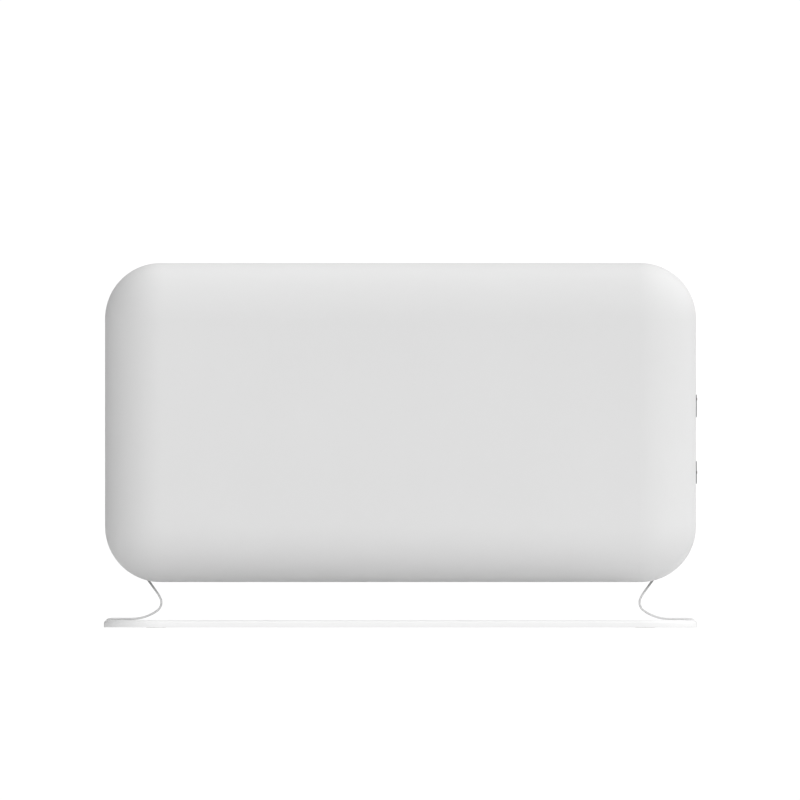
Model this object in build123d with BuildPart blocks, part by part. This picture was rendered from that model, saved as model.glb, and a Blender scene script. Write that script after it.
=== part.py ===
from build123d import *
import os
from math import cos, radians, sin, sqrt

os.makedirs("parts", exist_ok=True)

# Free-standing convector heater: a pillow-shaped body carried by two bent strip
# legs on a thin base plate. Millimetres. Z is up, the front faces -Y, and the
# origin is on the floor under the middle of the base plate.

# Base plate, a pressed steel tray on rubber pads
base_length = 660.0
base_depth = 200.0
base_height = 8.4
base_corner_radius = 60.0
base_edge_radius = 4.2
base_hem_radius = 0.6
base_sheet = 1.5
pad_proud = 0.6
pad_diameter = 22.0
pad_edge_chamfer = 0.5
pad_inset_x = 58.0
pad_inset_y = 32.0

# Legs, bent steel strip seen edge-on from the front
leg_thickness = 2.4
leg_width = 36.0
leg_edge_radius = 0.8
leg_setback = 2.9
leg_foot_length = 28.4
leg_foot_corner_radius = 8.0
leg_tip_length = 6.6
leg_tip_drop = 1.8
leg_sweep_radius = 47.7
leg_sweep_angle = 36.3
leg_bulge_radius = 11.1
leg_bulge_angle = 78.2
leg_rise_radius = 39.9
leg_lean = 36.0
leg_entry = 7.2
leg_top_radius = 15.0
leg_flange = 40.0
leg_slot_clearance = 0.7
leg_bolt_spread = 10.0
leg_bolt_low = 14.0
leg_bolt_high = 31.0
stud_near = 12.0
stud_far = 22.0
stud_spread = 12.0

# Body shell, all outer corners and the front edge one ball radius
ground_gap = 42.0
body_inset = 1.3
body_height = 355.0
body_round = 62.0
side_band = 46.0
rear_radius = 30.0
front_sheet = 1.5
front_flange = 16.0
front_hem_radius = 0.7
rear_wall = 2.2
seam_gap = 0.6

# Grilles let into the top and bottom of the rear shell
outlet_end_gap = 78.7
inlet_end_gap = 113.7
grille_width = 36.0
grille_corner = 8.0
grille_fit = 0.3
grille_rim = 1.8
grille_depth = 9.0
grille_lip = 3.0
grille_lip_thickness = 1.4
grille_recess = 0.3
slat_count = 4
slat_thickness = 1.5
slat_height = 7.0
slat_tilt = 28.0
cross_rib_count = 9
cross_rib_thickness = 1.6
cross_rib_height = 4.0

# Rear air slots, carrying grip and cable gland
slot_columns = 5
slot_rows = 5
slot_height = 5.0
slot_bridge = 12.0
slot_pitch_z = 14.0
slot_field_end_gap = 103.7
slot_field_height = 72.0
grip_length = 132.0
grip_height = 36.0
grip_corner = 12.0
grip_wall = 2.0
grip_back_gap = 2.2
grip_flange = 5.0
grip_flange_thickness = 1.4
grip_drop = 66.0
grip_edge_radius = 3.0
gland_end_gap = 82.7
gland_height = 62.0
gland_neck = 13.6
gland_bore = 7.2
gland_flange = 21.0
gland_flange_thickness = 2.4
gland_collar = 4.0
gland_fit = 0.2
gland_nut = 5.0
gland_nut_size = 19.0

# Sheet steel frame inside
frame_sheet = 1.2
frame_depth = 56.0
frame_corner_gap = 0.5
frame_flange = 22.0
frame_bend_radius = 1.6
frame_corner = 10.0
baffle_sheet = 0.8
baffle_overlap = 9.0
front_baffle_bottom = 34.0
front_baffle_knee = 56.0
throat_inset = 2.0
throat_gap = 0.6
rear_baffle_bottom = 112.0
rear_baffle_top = 34.0
baffle_neck = 10.0
bead_height = 9.0
bead_proud = 1.2
bead_spacing = 40.0
bead_end_gap = 60.0
bead_count = 3
clip_width = 20.0
clip_foot = 12.0
clip_reach = 37.0
clip_low_gap = 0.5
clip_high_gap = 61.0
clip_screw_inset = 10.0
clip_screw_share = 0.6
boss_inset = 6.6
boss_end_gap = 46.0

# Heating element: a sheathed rod in an aluminium X section
element_drop = 11.0
rod_diameter = 8.0
rod_overhang = 13.0
wing_span = 26.0
wing_thickness = 2.4
wing_angle = 40.0
wing_hub = 14.0
wing_fins = 3
wing_fin_pitch = 5.6
wing_fin_thickness = 1.3
wing_fin_length = 8.0
element_end_gap = 4.0
rod_fit = 0.05
bush_diameter = 18.0
bush_neck = 13.6
bush_flange = 3.2
bush_fit = 0.1
pin_diameter = 3.4
pin_length = 8.0
tag_width = 6.3
tag_thickness = 0.8
tag_length = 9.0

# Controls let into the right side
control_spacing = 74.0
control_drop = 18.5
knob_diameter = 25.6
knob_proud = 0.9
knob_edge_radius = 1.2
knob_wall = 2.0
knob_hub = 11.0
knob_gap = 0.6
pip_diameter = 2.8
pip_height = 0.4
pip_radius = 7.5
bezel_margin = 4.0
bezel_depth = 9.5
bezel_wall = 1.6
bezel_lip = 3.0
bezel_edge_radius = 2.5
bezel_fit = 0.25
bezel_hole_fit = 0.5
shaft_diameter = 6.0
shaft_flat = 4.6
shaft_fit = 0.05
shaft_insertion = 12.0
shaft_end_gap = 0.8
shaft_bore_spare = 1.0
bushing_diameter = 9.0
bushing_length = 6.0
bushing_hole_fit = 0.2
bushing_nut = 2.4
bushing_nut_size = 12.0
bracket_sheet = 1.5
bracket_set_in = 6.4
bracket_width = 35.0
bracket_end = 24.0
bracket_foot = 10.0
bracket_screw_inset = 12.0
switch_back_gap = 1.6
switch_diameter = 28.0
switch_tag_spacing_x = 8.0
switch_tag_spacing_y = 11.0
switch_tag_sunk = 2.0
thermostat_width = 28.0
thermostat_height = 31.0
thermostat_corner = 3.0
thermostat_tag_spacing = 12.0
thermostat_tag_length = 6.0
lamp_diameter = 6.0
lamp_head = 7.6
lamp_proud = 1.4
lamp_fit = 0.2
lamp_tail = 4.0
lamp_edge_radius = 1.1

# Safety devices and terminals
cutout_x = 150.0
cutout_diameter = 17.0
cutout_thickness = 6.0
cutout_ear = 32.0
cutout_ear_width = 8.0
cutout_ear_sheet = 0.8
cutout_tag_spacing = 8.0
fuse_x = 96.0
fuse_diameter = 4.0
fuse_length = 12.0
fuse_lead = 1.0
fuse_lead_length = 10.0
fuse_clip_width = 6.0
fuse_clip_sheet = 0.8
fuse_strap = 14.0
fuse_fit = 0.1
tip_height = 180.0
tip_swing = 33.0
tip_swing_gap = 0.4
tip_depth = 22.0
tip_wall = 2.0
tip_cover = 1.8
tip_corner = 5.0
tip_pin_diameter = 3.0
tip_pin_drop = 12.0
tip_hub = 8.0
tip_arm = 25.0
tip_arm_width = 4.0
tip_weight = 14.0
tip_weight_thickness = 12.0
tip_play = 0.8
tip_fit = 0.05
tip_ear = 8.0
tip_ear_width = 12.0
reed_width = 18.0
reed_height = 6.0
reed_depth = 8.0
reed_edge_radius = 1.5
reed_gap = 4.0
block_width = 28.0
block_height = 22.0
block_depth = 13.0
block_gap = 8.0
block_ways = 3
block_foot = 2.5
block_ear = 8.0
block_ear_width = 9.0
block_row_spacing = 12.0
block_screw_well = 4.2
block_screw_well_depth = 5.0
block_wire_hole = 3.6

# Screws
stud_diameter = 5.0
stud_length = 7.0
stud_hole = 5.6
nut_size = 8.0
nut_height = 4.0
nut_flange = 11.0
nut_fit = 0.05
leg_bolt = 5.0
leg_bolt_head = 9.5
leg_bolt_head_height = 3.2
leg_bolt_fit = 0.15
shell_screw = 3.9
shell_screw_head = 7.5
shell_screw_head_height = 2.6
shell_screw_recess = 8.0
boss_diameter = 12.0
boss_fit = 0.2
small_screw = 3.0
small_screw_head = 5.6
small_screw_head_height = 1.8
small_screw_length = 6.0
screw_hole_fit = 0.1
screw_bite = 4.0
bolt_spare = 2.0
rivet_head = 5.2
rivet_head_height = 1.0
rivet_low = 16.0
rivet_high = 60.0
nut_flange_height = 1.0

# Places worked out from the sizes above
base_top = pad_proud + base_height
tray_ceiling = base_top - base_sheet
body_bottom = base_top + ground_gap
body_top = body_bottom + body_height
body_mid = (body_bottom + body_top) / 2
body_width = base_length - 2 * body_inset
half_width = body_width / 2
band_front = -side_band / 2
band_rear = side_band / 2
rear_face = band_rear + rear_radius
rear_inner = rear_face - rear_wall
rear_rim = band_front + seam_gap
side_inner = half_width - rear_wall
frame_front = -frame_depth / 2
frame_rear = frame_depth / 2
outlet_length = body_width - 2 * outlet_end_gap
inlet_length = body_width - 2 * inlet_end_gap
slot_pitch_x = (body_width - 2 * slot_field_end_gap) / slot_columns
slot_length = slot_pitch_x - slot_bridge
gland_x = half_width - gland_end_gap
grip_depth = rear_face - frame_rear - baffle_sheet - grip_back_gap - grip_wall


def wall_plane(y):
    """Upright plane at depth y, drawn as seen from the front; it faces -Y."""
    return Plane.XZ.offset(-y)


def body_outline(inset=0.0):
    """Rounded outline of the body, drawn that far inside it."""
    with Locations((0, body_mid)):
        RectangleRounded(body_width - 2 * inset, body_height - 2 * inset, body_round - inset)


def pillow(radius):
    """Block with ball corners: an upright slab grown by the radius."""
    with BuildPart() as block:
        with BuildSketch(wall_plane(band_front)):
            with Locations((0, body_mid)):
                Rectangle(body_width - 2 * body_round, body_height - 2 * body_round)
        extrude(amount=-side_band)
        offset(amount=radius, kind=Kind.ARC)
    return block.part


def write(piece, name):
    """Label the piece and write it to its file."""
    piece.label = name
    export_step(piece, f"parts/{name}.step")


# Centre line of the left leg, from the foot's end up to the top of its flange
leg_mid_z = base_top + leg_thickness / 2
leg_start_x = -(base_length / 2 - leg_setback)
with BuildLine() as leg_line:
    foot_run = Line((leg_start_x, leg_mid_z), (leg_start_x + leg_foot_length, leg_mid_z))
    sweep_arc = JernArc(foot_run @ 1, foot_run % 1, leg_sweep_radius, leg_sweep_angle)
    bulge_arc = JernArc(sweep_arc @ 1, sweep_arc % 1, leg_bulge_radius, leg_bulge_angle)
    rise_angle = 90 + leg_lean - leg_sweep_angle - leg_bulge_angle
    rise_arc = JernArc(bulge_arc @ 1, bulge_arc % 1, leg_rise_radius, rise_angle)
    rise_length = (body_bottom + leg_entry - (rise_arc @ 1).Y) / cos(radians(leg_lean))
    rise_run = Line(rise_arc @ 1, (rise_arc @ 1) + (rise_arc % 1) * rise_length)
    top_arc = JernArc(rise_run @ 1, rise_run % 1, leg_top_radius, -leg_lean)
    flange_run = Line(top_arc @ 1, (top_arc @ 1) + (top_arc % 1) * leg_flange)

flange_bottom = (flange_run @ 0).Y
flange_x = -(flange_run @ 0).X
web_outer = flange_x - leg_thickness / 2
web_inner = web_outer - frame_sheet

# The frames end where the web's corner would reach the front shell's return flange
flange_corner = body_round - front_sheet - front_flange - frame_corner_gap
corner_reach = sqrt(flange_corner**2 - (web_outer - half_width + body_round) ** 2)
frame_bottom = body_bottom + body_round - corner_reach
frame_top = body_top - body_round + corner_reach

# Fixing places that several pieces share
stud_places = [
    (leg_start_x + stud_near, 0),
    (leg_start_x + stud_far, stud_spread),
    (leg_start_x + stud_far, -stud_spread),
]
both_stud_places = stud_places + [(-x, y) for x, y in stud_places]
leg_bolt_places = [
    (-leg_bolt_spread, flange_bottom + leg_bolt_low),
    (leg_bolt_spread, flange_bottom + leg_bolt_low),
    (0, flange_bottom + leg_bolt_high),
]
boss_x = web_inner - boss_inset
boss_heights = [body_bottom + boss_end_gap, body_mid, body_top - boss_end_gap]
boss_places = [(side * boss_x, z) for side in (-1, 1) for z in boss_heights]
front_knee_z = body_top - front_baffle_knee
rear_knee_z = body_top - rear_baffle_top
throat_y = grille_width / 2 - throat_inset
throat_top = body_top - grille_depth - throat_gap
throat_z = throat_top - baffle_neck
baffle_half = web_inner - frame_flange + baffle_overlap
leg_top = (flange_run @ 1).Y
clip_heights = [
    leg_top + clip_low_gap + clip_width / 2,
    body_top - clip_high_gap - clip_width / 2,
]
clip_screw_x = half_width - front_sheet - clip_screw_inset
clip_screw_places = [(side * clip_screw_x, z) for side in (-1, 1) for z in clip_heights]
clip_face = band_front + frame_sheet
clip_web_places = [(band_front + clip_foot * clip_screw_share, z) for z in clip_heights]
control_mid = body_mid - control_drop
power_z = control_mid + control_spacing / 2
thermostat_z = control_mid - control_spacing / 2
dish_floor = half_width - bezel_depth
bracket_face = dish_floor - bezel_wall - bracket_set_in
bracket_height = control_spacing + 2 * bracket_end
bezel_width = side_band - 2 * bezel_margin
element_z = control_mid - bracket_height / 2 - element_drop
bracket_foot_y = bracket_width / 2 + bracket_foot / 2 - bracket_sheet
bracket_screw_places = [
    (side * bracket_foot_y, control_mid + end * (bracket_height / 2 - bracket_screw_inset))
    for side in (-1, 1)
    for end in (-1, 1)
]
cutout_z = body_mid + bead_spacing / 2
tip_z = body_bottom + tip_height
tip_length = tip_pin_drop + tip_arm + tip_weight / 2 + reed_gap + reed_height + tip_wall
tip_reach = tip_arm * sin(radians(tip_swing)) + tip_weight / 2
tip_width = 2 * (tip_reach + tip_swing_gap + tip_wall)
tip_screw_places = [(0, tip_z + end * (tip_length + tip_ear) / 2) for end in (-1, 1)]
block_z = control_mid + bracket_height / 2 + block_gap + block_height / 2
block_screw_places = [(side * (block_width + block_ear) / 2, block_z) for side in (-1, 1)]
baffle_rivet_x = baffle_half - baffle_overlap / 2

# Base plate, hollow below, with holes for the studs of both legs
with BuildPart() as base_plate:
    with BuildSketch(Plane.XY.offset(pad_proud)):
        RectangleRounded(base_length, base_depth, base_corner_radius)
    extrude(amount=base_height)
    fillet(base_plate.edges().group_by(Axis.Z)[-1], base_edge_radius)
    offset(amount=-base_sheet, openings=base_plate.faces().sort_by(Axis.Z)[0])
    fillet(base_plate.faces().sort_by(Axis.Z)[0].outer_wire().edges(), base_hem_radius)
    with BuildSketch(Plane.XY.offset(tray_ceiling)):
        with Locations(*both_stud_places):
            Circle(stud_hole / 2)
    extrude(amount=base_sheet, mode=Mode.SUBTRACT)
write(base_plate.part, "base_plate")

# Rubber pads glued under the tray, just proud of its edge
with BuildPart() as rubber_pads:
    with BuildSketch():
        with GridLocations(base_length - 2 * pad_inset_x, base_depth - 2 * pad_inset_y, 2, 2):
            Circle(pad_diameter / 2)
    extrude(amount=tray_ceiling)
    chamfer(rubber_pads.edges().group_by(Axis.Z)[0], pad_edge_chamfer)
write(rubber_pads.part, "rubber_pads")

# Left leg: strip traced along its centre line, with rounded long edges and studs;
# its foot is thinned at the end and rounded in plan
with BuildPart() as leg_left:
    with BuildSketch(Plane.XZ):
        trace(leg_line.line, line_width=leg_thickness)
    extrude(amount=leg_width / 2, both=True)
    strip_sides = leg_left.faces().filter_by(Axis.Y)
    long_edges = strip_sides.edges().filter_by(lambda edge: edge.length > 2 * leg_thickness)
    fillet(long_edges, leg_edge_radius)
    with BuildSketch(Plane.XZ):
        with BuildLine():
            tip_low = (leg_start_x, base_top + leg_thickness - leg_tip_drop)
            tip_high = (leg_start_x + leg_tip_length, base_top + leg_thickness)
            TangentArc(tip_high, tip_low, tangent=(-1, 0))
            Polyline(tip_low, (leg_start_x, tip_high[1]), tip_high)
        make_face()
    extrude(amount=leg_width / 2, both=True, mode=Mode.SUBTRACT)
    with BuildSketch(Plane.XY.offset(base_top)):
        with Locations((leg_start_x, 0)):
            Rectangle(2 * leg_foot_corner_radius, leg_width)
        with Locations((leg_start_x + leg_foot_length, 0)):
            foot_plan = (2 * leg_foot_length, leg_width)
            RectangleRounded(*foot_plan, leg_foot_corner_radius, mode=Mode.SUBTRACT)
    extrude(amount=leg_thickness, mode=Mode.SUBTRACT)
    with BuildSketch(Plane.XY.offset(base_top)):
        with Locations(*stud_places):
            Circle(stud_diameter / 2)
    extrude(amount=-stud_length)
    with BuildSketch(Plane.YZ.offset(-web_outer)):
        with Locations(*leg_bolt_places):
            Circle(leg_bolt / 2 + leg_bolt_fit)
    extrude(amount=-leg_thickness, mode=Mode.SUBTRACT)
write(leg_left.part, "leg_left")

with BuildPart() as leg_right:
    add(mirror(leg_left.part, about=Plane.YZ, mode=Mode.PRIVATE))
write(leg_right.part, "leg_right")

# Flange nuts on the studs, under the tray
with BuildPart() as base_nuts:
    with BuildSketch(Plane.XY.offset(tray_ceiling)):
        with Locations(*both_stud_places):
            Circle(nut_flange / 2)
            Circle(stud_diameter / 2 + nut_fit, mode=Mode.SUBTRACT)
    extrude(amount=-nut_flange_height)
    with BuildSketch(Plane.XY.offset(tray_ceiling - nut_flange_height)):
        with Locations(*both_stud_places):
            RegularPolygon(nut_size / 2, 6, major_radius=False)
            Circle(stud_diameter / 2 + nut_fit, mode=Mode.SUBTRACT)
    extrude(amount=-(nut_height - nut_flange_height))
write(base_nuts.part, "base_nuts")

# Front shell: one pressed sheet with ball corners and a return flange behind its edge
with BuildPart() as front_hollow:
    add(pillow(body_round - front_sheet))
    split(bisect_by=wall_plane(band_front - front_sheet), keep=Keep.TOP)

with BuildPart() as front_shell:
    add(pillow(body_round))
    split(bisect_by=wall_plane(band_front), keep=Keep.TOP)
    add(front_hollow.part, mode=Mode.SUBTRACT)
    with BuildSketch(wall_plane(band_front)):
        body_outline(inset=front_sheet + front_flange)
    extrude(amount=front_sheet, mode=Mode.SUBTRACT)
    fillet(front_shell.faces().sort_by(Axis.Y)[-1].outer_wire().edges(), front_hem_radius)
    with BuildSketch(wall_plane(band_front)):
        with Locations(*clip_screw_places):
            Circle(shell_screw / 2 + screw_hole_fit)
    extrude(amount=front_sheet, mode=Mode.SUBTRACT)
write(front_shell.part, "front_shell")

# Slots in the rear shell that the leaning run of each leg passes
with BuildPart() as leg_passage:
    with BuildSketch(Plane.XZ):
        trace(rise_run, line_width=leg_thickness + 2 * leg_slot_clearance)
    extrude(amount=leg_width / 2 + leg_slot_clearance, both=True)
    mirror(about=Plane.YZ)

# Rear shell: moulded tub with the side band, windows, air slots and screw bosses
with BuildPart() as rear_shell:
    with BuildSketch(wall_plane(rear_rim)):
        body_outline()
    extrude(amount=-(rear_face - rear_rim))
    fillet(rear_shell.faces().sort_by(Axis.Y)[-1].edges(), rear_radius)
    offset(amount=-rear_wall, openings=rear_shell.faces().sort_by(Axis.Y)[0])
    with BuildSketch(Plane.XY.offset(body_top)):
        RectangleRounded(outlet_length, grille_width, grille_corner)
    extrude(amount=-rear_wall, mode=Mode.SUBTRACT)
    with BuildSketch(Plane.XY.offset(body_bottom)):
        RectangleRounded(inlet_length, grille_width, grille_corner)
    extrude(amount=rear_wall, mode=Mode.SUBTRACT)
    with BuildSketch(Plane.YZ.offset(half_width)):
        with Locations((0, control_mid)):
            SlotCenterToCenter(control_spacing, bezel_width, rotation=90)
    extrude(amount=-rear_wall, mode=Mode.SUBTRACT)
    with BuildSketch(wall_plane(rear_face)):
        with Locations((0, body_bottom + slot_field_height)):
            with GridLocations(slot_pitch_x, slot_pitch_z, slot_columns, slot_rows):
                SlotOverall(slot_length, slot_height)
        with Locations((0, body_top - grip_drop)):
            RectangleRounded(grip_length, grip_height, grip_corner)
        with Locations((gland_x, body_bottom + gland_height)):
            Circle(gland_neck / 2 + gland_fit)
    extrude(amount=rear_wall, mode=Mode.SUBTRACT)
    with BuildSketch(wall_plane(frame_rear)):
        with Locations(*boss_places):
            Circle(boss_diameter / 2)
    extrude(amount=-(rear_inner - frame_rear))
    with BuildSketch(wall_plane(rear_face)):
        with Locations(*boss_places):
            Circle(shell_screw_head / 2 + boss_fit)
    extrude(amount=shell_screw_recess, mode=Mode.SUBTRACT)
    with BuildSketch(wall_plane(rear_face)):
        with Locations(*boss_places):
            Circle(shell_screw / 2 + boss_fit)
    extrude(amount=rear_face - frame_rear, mode=Mode.SUBTRACT)
    add(leg_passage.part, mode=Mode.SUBTRACT)
write(rear_shell.part, "rear_shell")


def make_grille(length, face_z, inward):
    """Slatted grille pushed into its window from inside; inward is -1 below the top face."""
    rim_length = length - 2 * grille_fit
    rim_width = grille_width - 2 * grille_fit
    hole_length = rim_length - 2 * grille_rim
    hole_width = rim_width - 2 * grille_rim
    hole_corner = grille_corner - grille_fit - grille_rim
    slat_z = face_z + inward * (grille_recess + slat_height / 2)
    with BuildPart() as grille:
        with BuildSketch(Plane.XY.offset(face_z + inward * grille_recess)):
            RectangleRounded(rim_length, rim_width, grille_corner - grille_fit)
            RectangleRounded(hole_length, hole_width, hole_corner, mode=Mode.SUBTRACT)
        extrude(amount=inward * grille_depth)
        with BuildSketch(Plane.XY.offset(face_z + inward * rear_wall)):
            RectangleRounded(length + 2 * grille_lip, grille_width + 2 * grille_lip, grille_corner)
            RectangleRounded(hole_length, hole_width, hole_corner, mode=Mode.SUBTRACT)
        extrude(amount=inward * grille_lip_thickness)
        with BuildSketch(Plane.YZ):
            with Locations((0, slat_z)):
                with GridLocations(hole_width / slat_count, 0, slat_count, 1):
                    Rectangle(slat_thickness, slat_height, rotation=-slat_tilt)
        extrude(amount=hole_length / 2 + grille_rim / 2, both=True)
        rib_z = face_z + inward * (grille_depth + grille_recess - cross_rib_height)
        with BuildSketch(Plane.XY.offset(rib_z)):
            with GridLocations(hole_length / (cross_rib_count + 1), 0, cross_rib_count, 1):
                Rectangle(cross_rib_thickness, hole_width + grille_rim)
        extrude(amount=inward * cross_rib_height)
    return grille.part


outlet_grille = make_grille(outlet_length, body_top, -1)
write(outlet_grille, "outlet_grille")
inlet_grille = make_grille(inlet_length, body_bottom, 1)
write(inlet_grille, "inlet_grille")

# Carrying grip: a cup let into the rear wall
grip_z = body_top - grip_drop
grip_outer_length = grip_length - 2 * grille_fit
grip_outer_height = grip_height - 2 * grille_fit
with BuildPart() as grip_cup:
    with BuildSketch(wall_plane(rear_face)):
        with Locations((0, grip_z)):
            RectangleRounded(grip_length + 2 * grip_flange, grip_height + 2 * grip_flange,
                             grip_corner + grip_flange)
    extrude(amount=-grip_flange_thickness)
    fillet(grip_cup.faces().sort_by(Axis.Y)[-1].edges(), grip_flange_thickness / 2)
    with BuildSketch(wall_plane(rear_face)):
        with Locations((0, grip_z)):
            RectangleRounded(grip_outer_length, grip_outer_height, grip_corner - grille_fit)
    extrude(amount=grip_depth + grip_wall)
    with BuildSketch(wall_plane(rear_face + grip_flange_thickness)):
        with Locations((0, grip_z)):
            RectangleRounded(grip_outer_length - 2 * grip_wall, grip_outer_height - 2 * grip_wall,
                             grip_corner - grille_fit - grip_wall)
    extrude(amount=grip_depth + grip_flange_thickness, mode=Mode.SUBTRACT)
    pocket_floor = grip_cup.faces().filter_by(Axis.Y).sort_by(Axis.Y)[1]
    fillet(pocket_floor.edges(), grip_edge_radius)
write(grip_cup.part, "grip_cup")

# Cable gland in the rear wall and its nut inside
gland_z = body_bottom + gland_height
with BuildPart() as cable_gland:
    with BuildSketch(wall_plane(rear_face)):
        with Locations((gland_x, gland_z)):
            Circle(gland_flange / 2)
    extrude(amount=-gland_flange_thickness)
    fillet(cable_gland.faces().sort_by(Axis.Y)[-1].edges(), gland_flange_thickness / 3)
    with BuildSketch(wall_plane(rear_face + gland_flange_thickness)):
        with Locations((gland_x, gland_z)):
            Circle(gland_neck / 2)
    extrude(amount=-gland_collar)
    fillet(cable_gland.faces().sort_by(Axis.Y)[-1].edges(), gland_flange_thickness / 3)
    with BuildSketch(wall_plane(rear_face)):
        with Locations((gland_x, gland_z)):
            Circle(gland_neck / 2)
    extrude(amount=rear_wall + gland_nut)
    with BuildSketch(wall_plane(rear_face + gland_flange_thickness + gland_collar)):
        with Locations((gland_x, gland_z)):
            Circle(gland_bore / 2)
    extrude(amount=gland_flange_thickness + gland_collar + rear_wall + gland_nut, mode=Mode.SUBTRACT)
write(cable_gland.part, "cable_gland")

with BuildPart() as gland_nut_ring:
    with BuildSketch(wall_plane(rear_inner)):
        with Locations((gland_x, gland_z)):
            RegularPolygon(gland_nut_size / 2, 6, major_radius=False)
            Circle(gland_neck / 2 + nut_fit, mode=Mode.SUBTRACT)
    extrude(amount=gland_nut)
write(gland_nut_ring.part, "gland_nut")


def make_side_frame(side, screw_places):
    """Upright channel inside one end of the body; side is -1 left, 1 right."""
    with BuildPart() as frame:
        with BuildSketch(Plane.XY.offset(frame_bottom)):
            with Locations((side * (web_inner + frame_sheet / 2), 0)):
                Rectangle(frame_sheet, frame_depth)
            with GridLocations(0, frame_depth - frame_sheet, 1, 2):
                with Locations((side * (web_outer - frame_flange / 2), 0)):
                    Rectangle(frame_flange, frame_sheet)
        extrude(amount=frame_top - frame_bottom)
        bends = frame.edges().filter_by(Axis.Z).sort_by(Axis.X, reverse=side > 0)[:2]
        fillet(bends, frame_bend_radius)
        free_corners = frame.edges().filter_by(Axis.Y).sort_by(Axis.X, reverse=side < 0)[:4]
        fillet(free_corners, frame_corner)
        for y, knee_z in ((frame_front, front_knee_z), (frame_rear, rear_knee_z)):
            with BuildSketch(wall_plane(y)):
                with Locations((side * (web_inner - frame_flange / 2), knee_z)):
                    Rectangle(frame_flange, body_top - knee_z, align=(Align.CENTER, Align.MIN))
            extrude(amount=-frame_bend_radius if y < 0 else frame_bend_radius, mode=Mode.SUBTRACT)
        with BuildSketch(Plane.YZ.offset(side * web_outer)):
            with Locations(*leg_bolt_places):
                Circle(leg_bolt / 2 + leg_bolt_fit)
            with Locations(*screw_places):
                Circle(small_screw / 2 + screw_hole_fit)
            with Locations((0, element_z)):
                Circle(bush_neck / 2 + bush_fit)
            with Locations(*clip_web_places):
                Circle(small_screw / 2 + screw_hole_fit)
        extrude(amount=-side * frame_sheet, mode=Mode.SUBTRACT)
        with BuildSketch(wall_plane(frame_rear)):
            with Locations(*[(side * boss_x, z) for z in boss_heights]):
                Circle(shell_screw / 2 + screw_hole_fit)
        extrude(amount=frame_sheet, mode=Mode.SUBTRACT)
    return frame.part


side_frame_left = make_side_frame(-1, tip_screw_places)
write(side_frame_left, "side_frame_left")
side_frame_right = make_side_frame(1, bracket_screw_places + block_screw_places)
write(side_frame_right, "side_frame_right")

# Angle clips that carry the front shell's flange on the side frames
with BuildPart() as shell_clips:
    for side in (-1, 1):
        for z in clip_heights:
            with BuildSketch(Plane.XY.offset(z - clip_width / 2)):
                with Locations((side * (web_outer + clip_reach / 2), band_front + frame_sheet / 2)):
                    Rectangle(clip_reach, frame_sheet)
                with Locations((side * (web_outer + frame_sheet / 2), band_front + clip_foot / 2)):
                    Rectangle(frame_sheet, clip_foot)
            extrude(amount=clip_width)
    with BuildSketch(wall_plane(clip_face)):
        with Locations(*clip_screw_places):
            Circle(shell_screw / 2 + screw_hole_fit)
    extrude(amount=frame_sheet, mode=Mode.SUBTRACT)
    with BuildSketch(Plane.YZ):
        with Locations(*clip_web_places):
            Circle(small_screw / 2 + screw_hole_fit)
    extrude(amount=web_outer + 2 * frame_sheet, both=True, mode=Mode.SUBTRACT)
write(shell_clips.part, "shell_clips")


# Front baffle: shields the front shell and narrows towards the outlet
with BuildPart() as front_baffle:
    with BuildSketch(Plane.YZ):
        with BuildLine():
            front_profile = Polyline(
                (frame_front, body_bottom + front_baffle_bottom),
                (frame_front, front_knee_z),
                (-throat_y, throat_z),
                (-throat_y, throat_top),
            )
            offset(front_profile, amount=baffle_sheet, side=Side.LEFT)
        make_face()
    extrude(amount=baffle_half, both=True)
    bead_length = 2 * (baffle_half - bead_end_gap)
    with BuildSketch(wall_plane(frame_front)):
        with Locations((0, body_mid)):
            with GridLocations(0, bead_spacing, 1, bead_count):
                SlotOverall(bead_length, bead_height)
    extrude(amount=baffle_sheet + bead_proud)
    with BuildSketch(wall_plane(frame_front)):
        with Locations((0, body_mid)):
            with GridLocations(0, bead_spacing, 1, bead_count):
                SlotOverall(bead_length - 2 * baffle_sheet, bead_height - 2 * baffle_sheet)
    extrude(amount=bead_proud, mode=Mode.SUBTRACT)
write(front_baffle.part, "front_baffle")

# Rear baffle: keeps the warm stream off the rear shell above the air slots
with BuildPart() as rear_baffle:
    with BuildSketch(Plane.YZ):
        with BuildLine():
            rear_profile = Polyline(
                (frame_rear, body_bottom + rear_baffle_bottom),
                (frame_rear, rear_knee_z),
                (throat_y, throat_z),
                (throat_y, throat_top),
            )
            offset(rear_profile, amount=baffle_sheet, side=Side.RIGHT)
        make_face()
    extrude(amount=baffle_half, both=True)
write(rear_baffle.part, "rear_baffle")

# Heating element: sheathed rod through ceramic bushes, with its finned X section
with BuildPart() as heater_rod:
    with BuildSketch(Plane.YZ):
        with Locations((0, element_z)):
            Circle(rod_diameter / 2)
    extrude(amount=web_outer + rod_overhang, both=True)
write(heater_rod.part, "heater_rod")

with BuildPart() as heater_fins:
    with BuildSketch(Plane.YZ):
        with Locations((0, element_z)):
            Circle(wing_hub / 2)
            for angle in (wing_angle, -wing_angle):
                Rectangle(2 * wing_span, wing_thickness, rotation=angle)
                for step in range(1, wing_fins + 1):
                    reach = wing_span - wing_fin_thickness / 2 - (step - 1) * wing_fin_pitch
                    with PolarLocations(reach, 2, start_angle=angle, angular_range=360):
                        Rectangle(wing_fin_thickness, wing_fin_length)
            Circle(rod_diameter / 2 + rod_fit, mode=Mode.SUBTRACT)
    extrude(amount=web_inner - frame_flange - element_end_gap, both=True)
write(heater_fins.part, "heater_fins")

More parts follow.
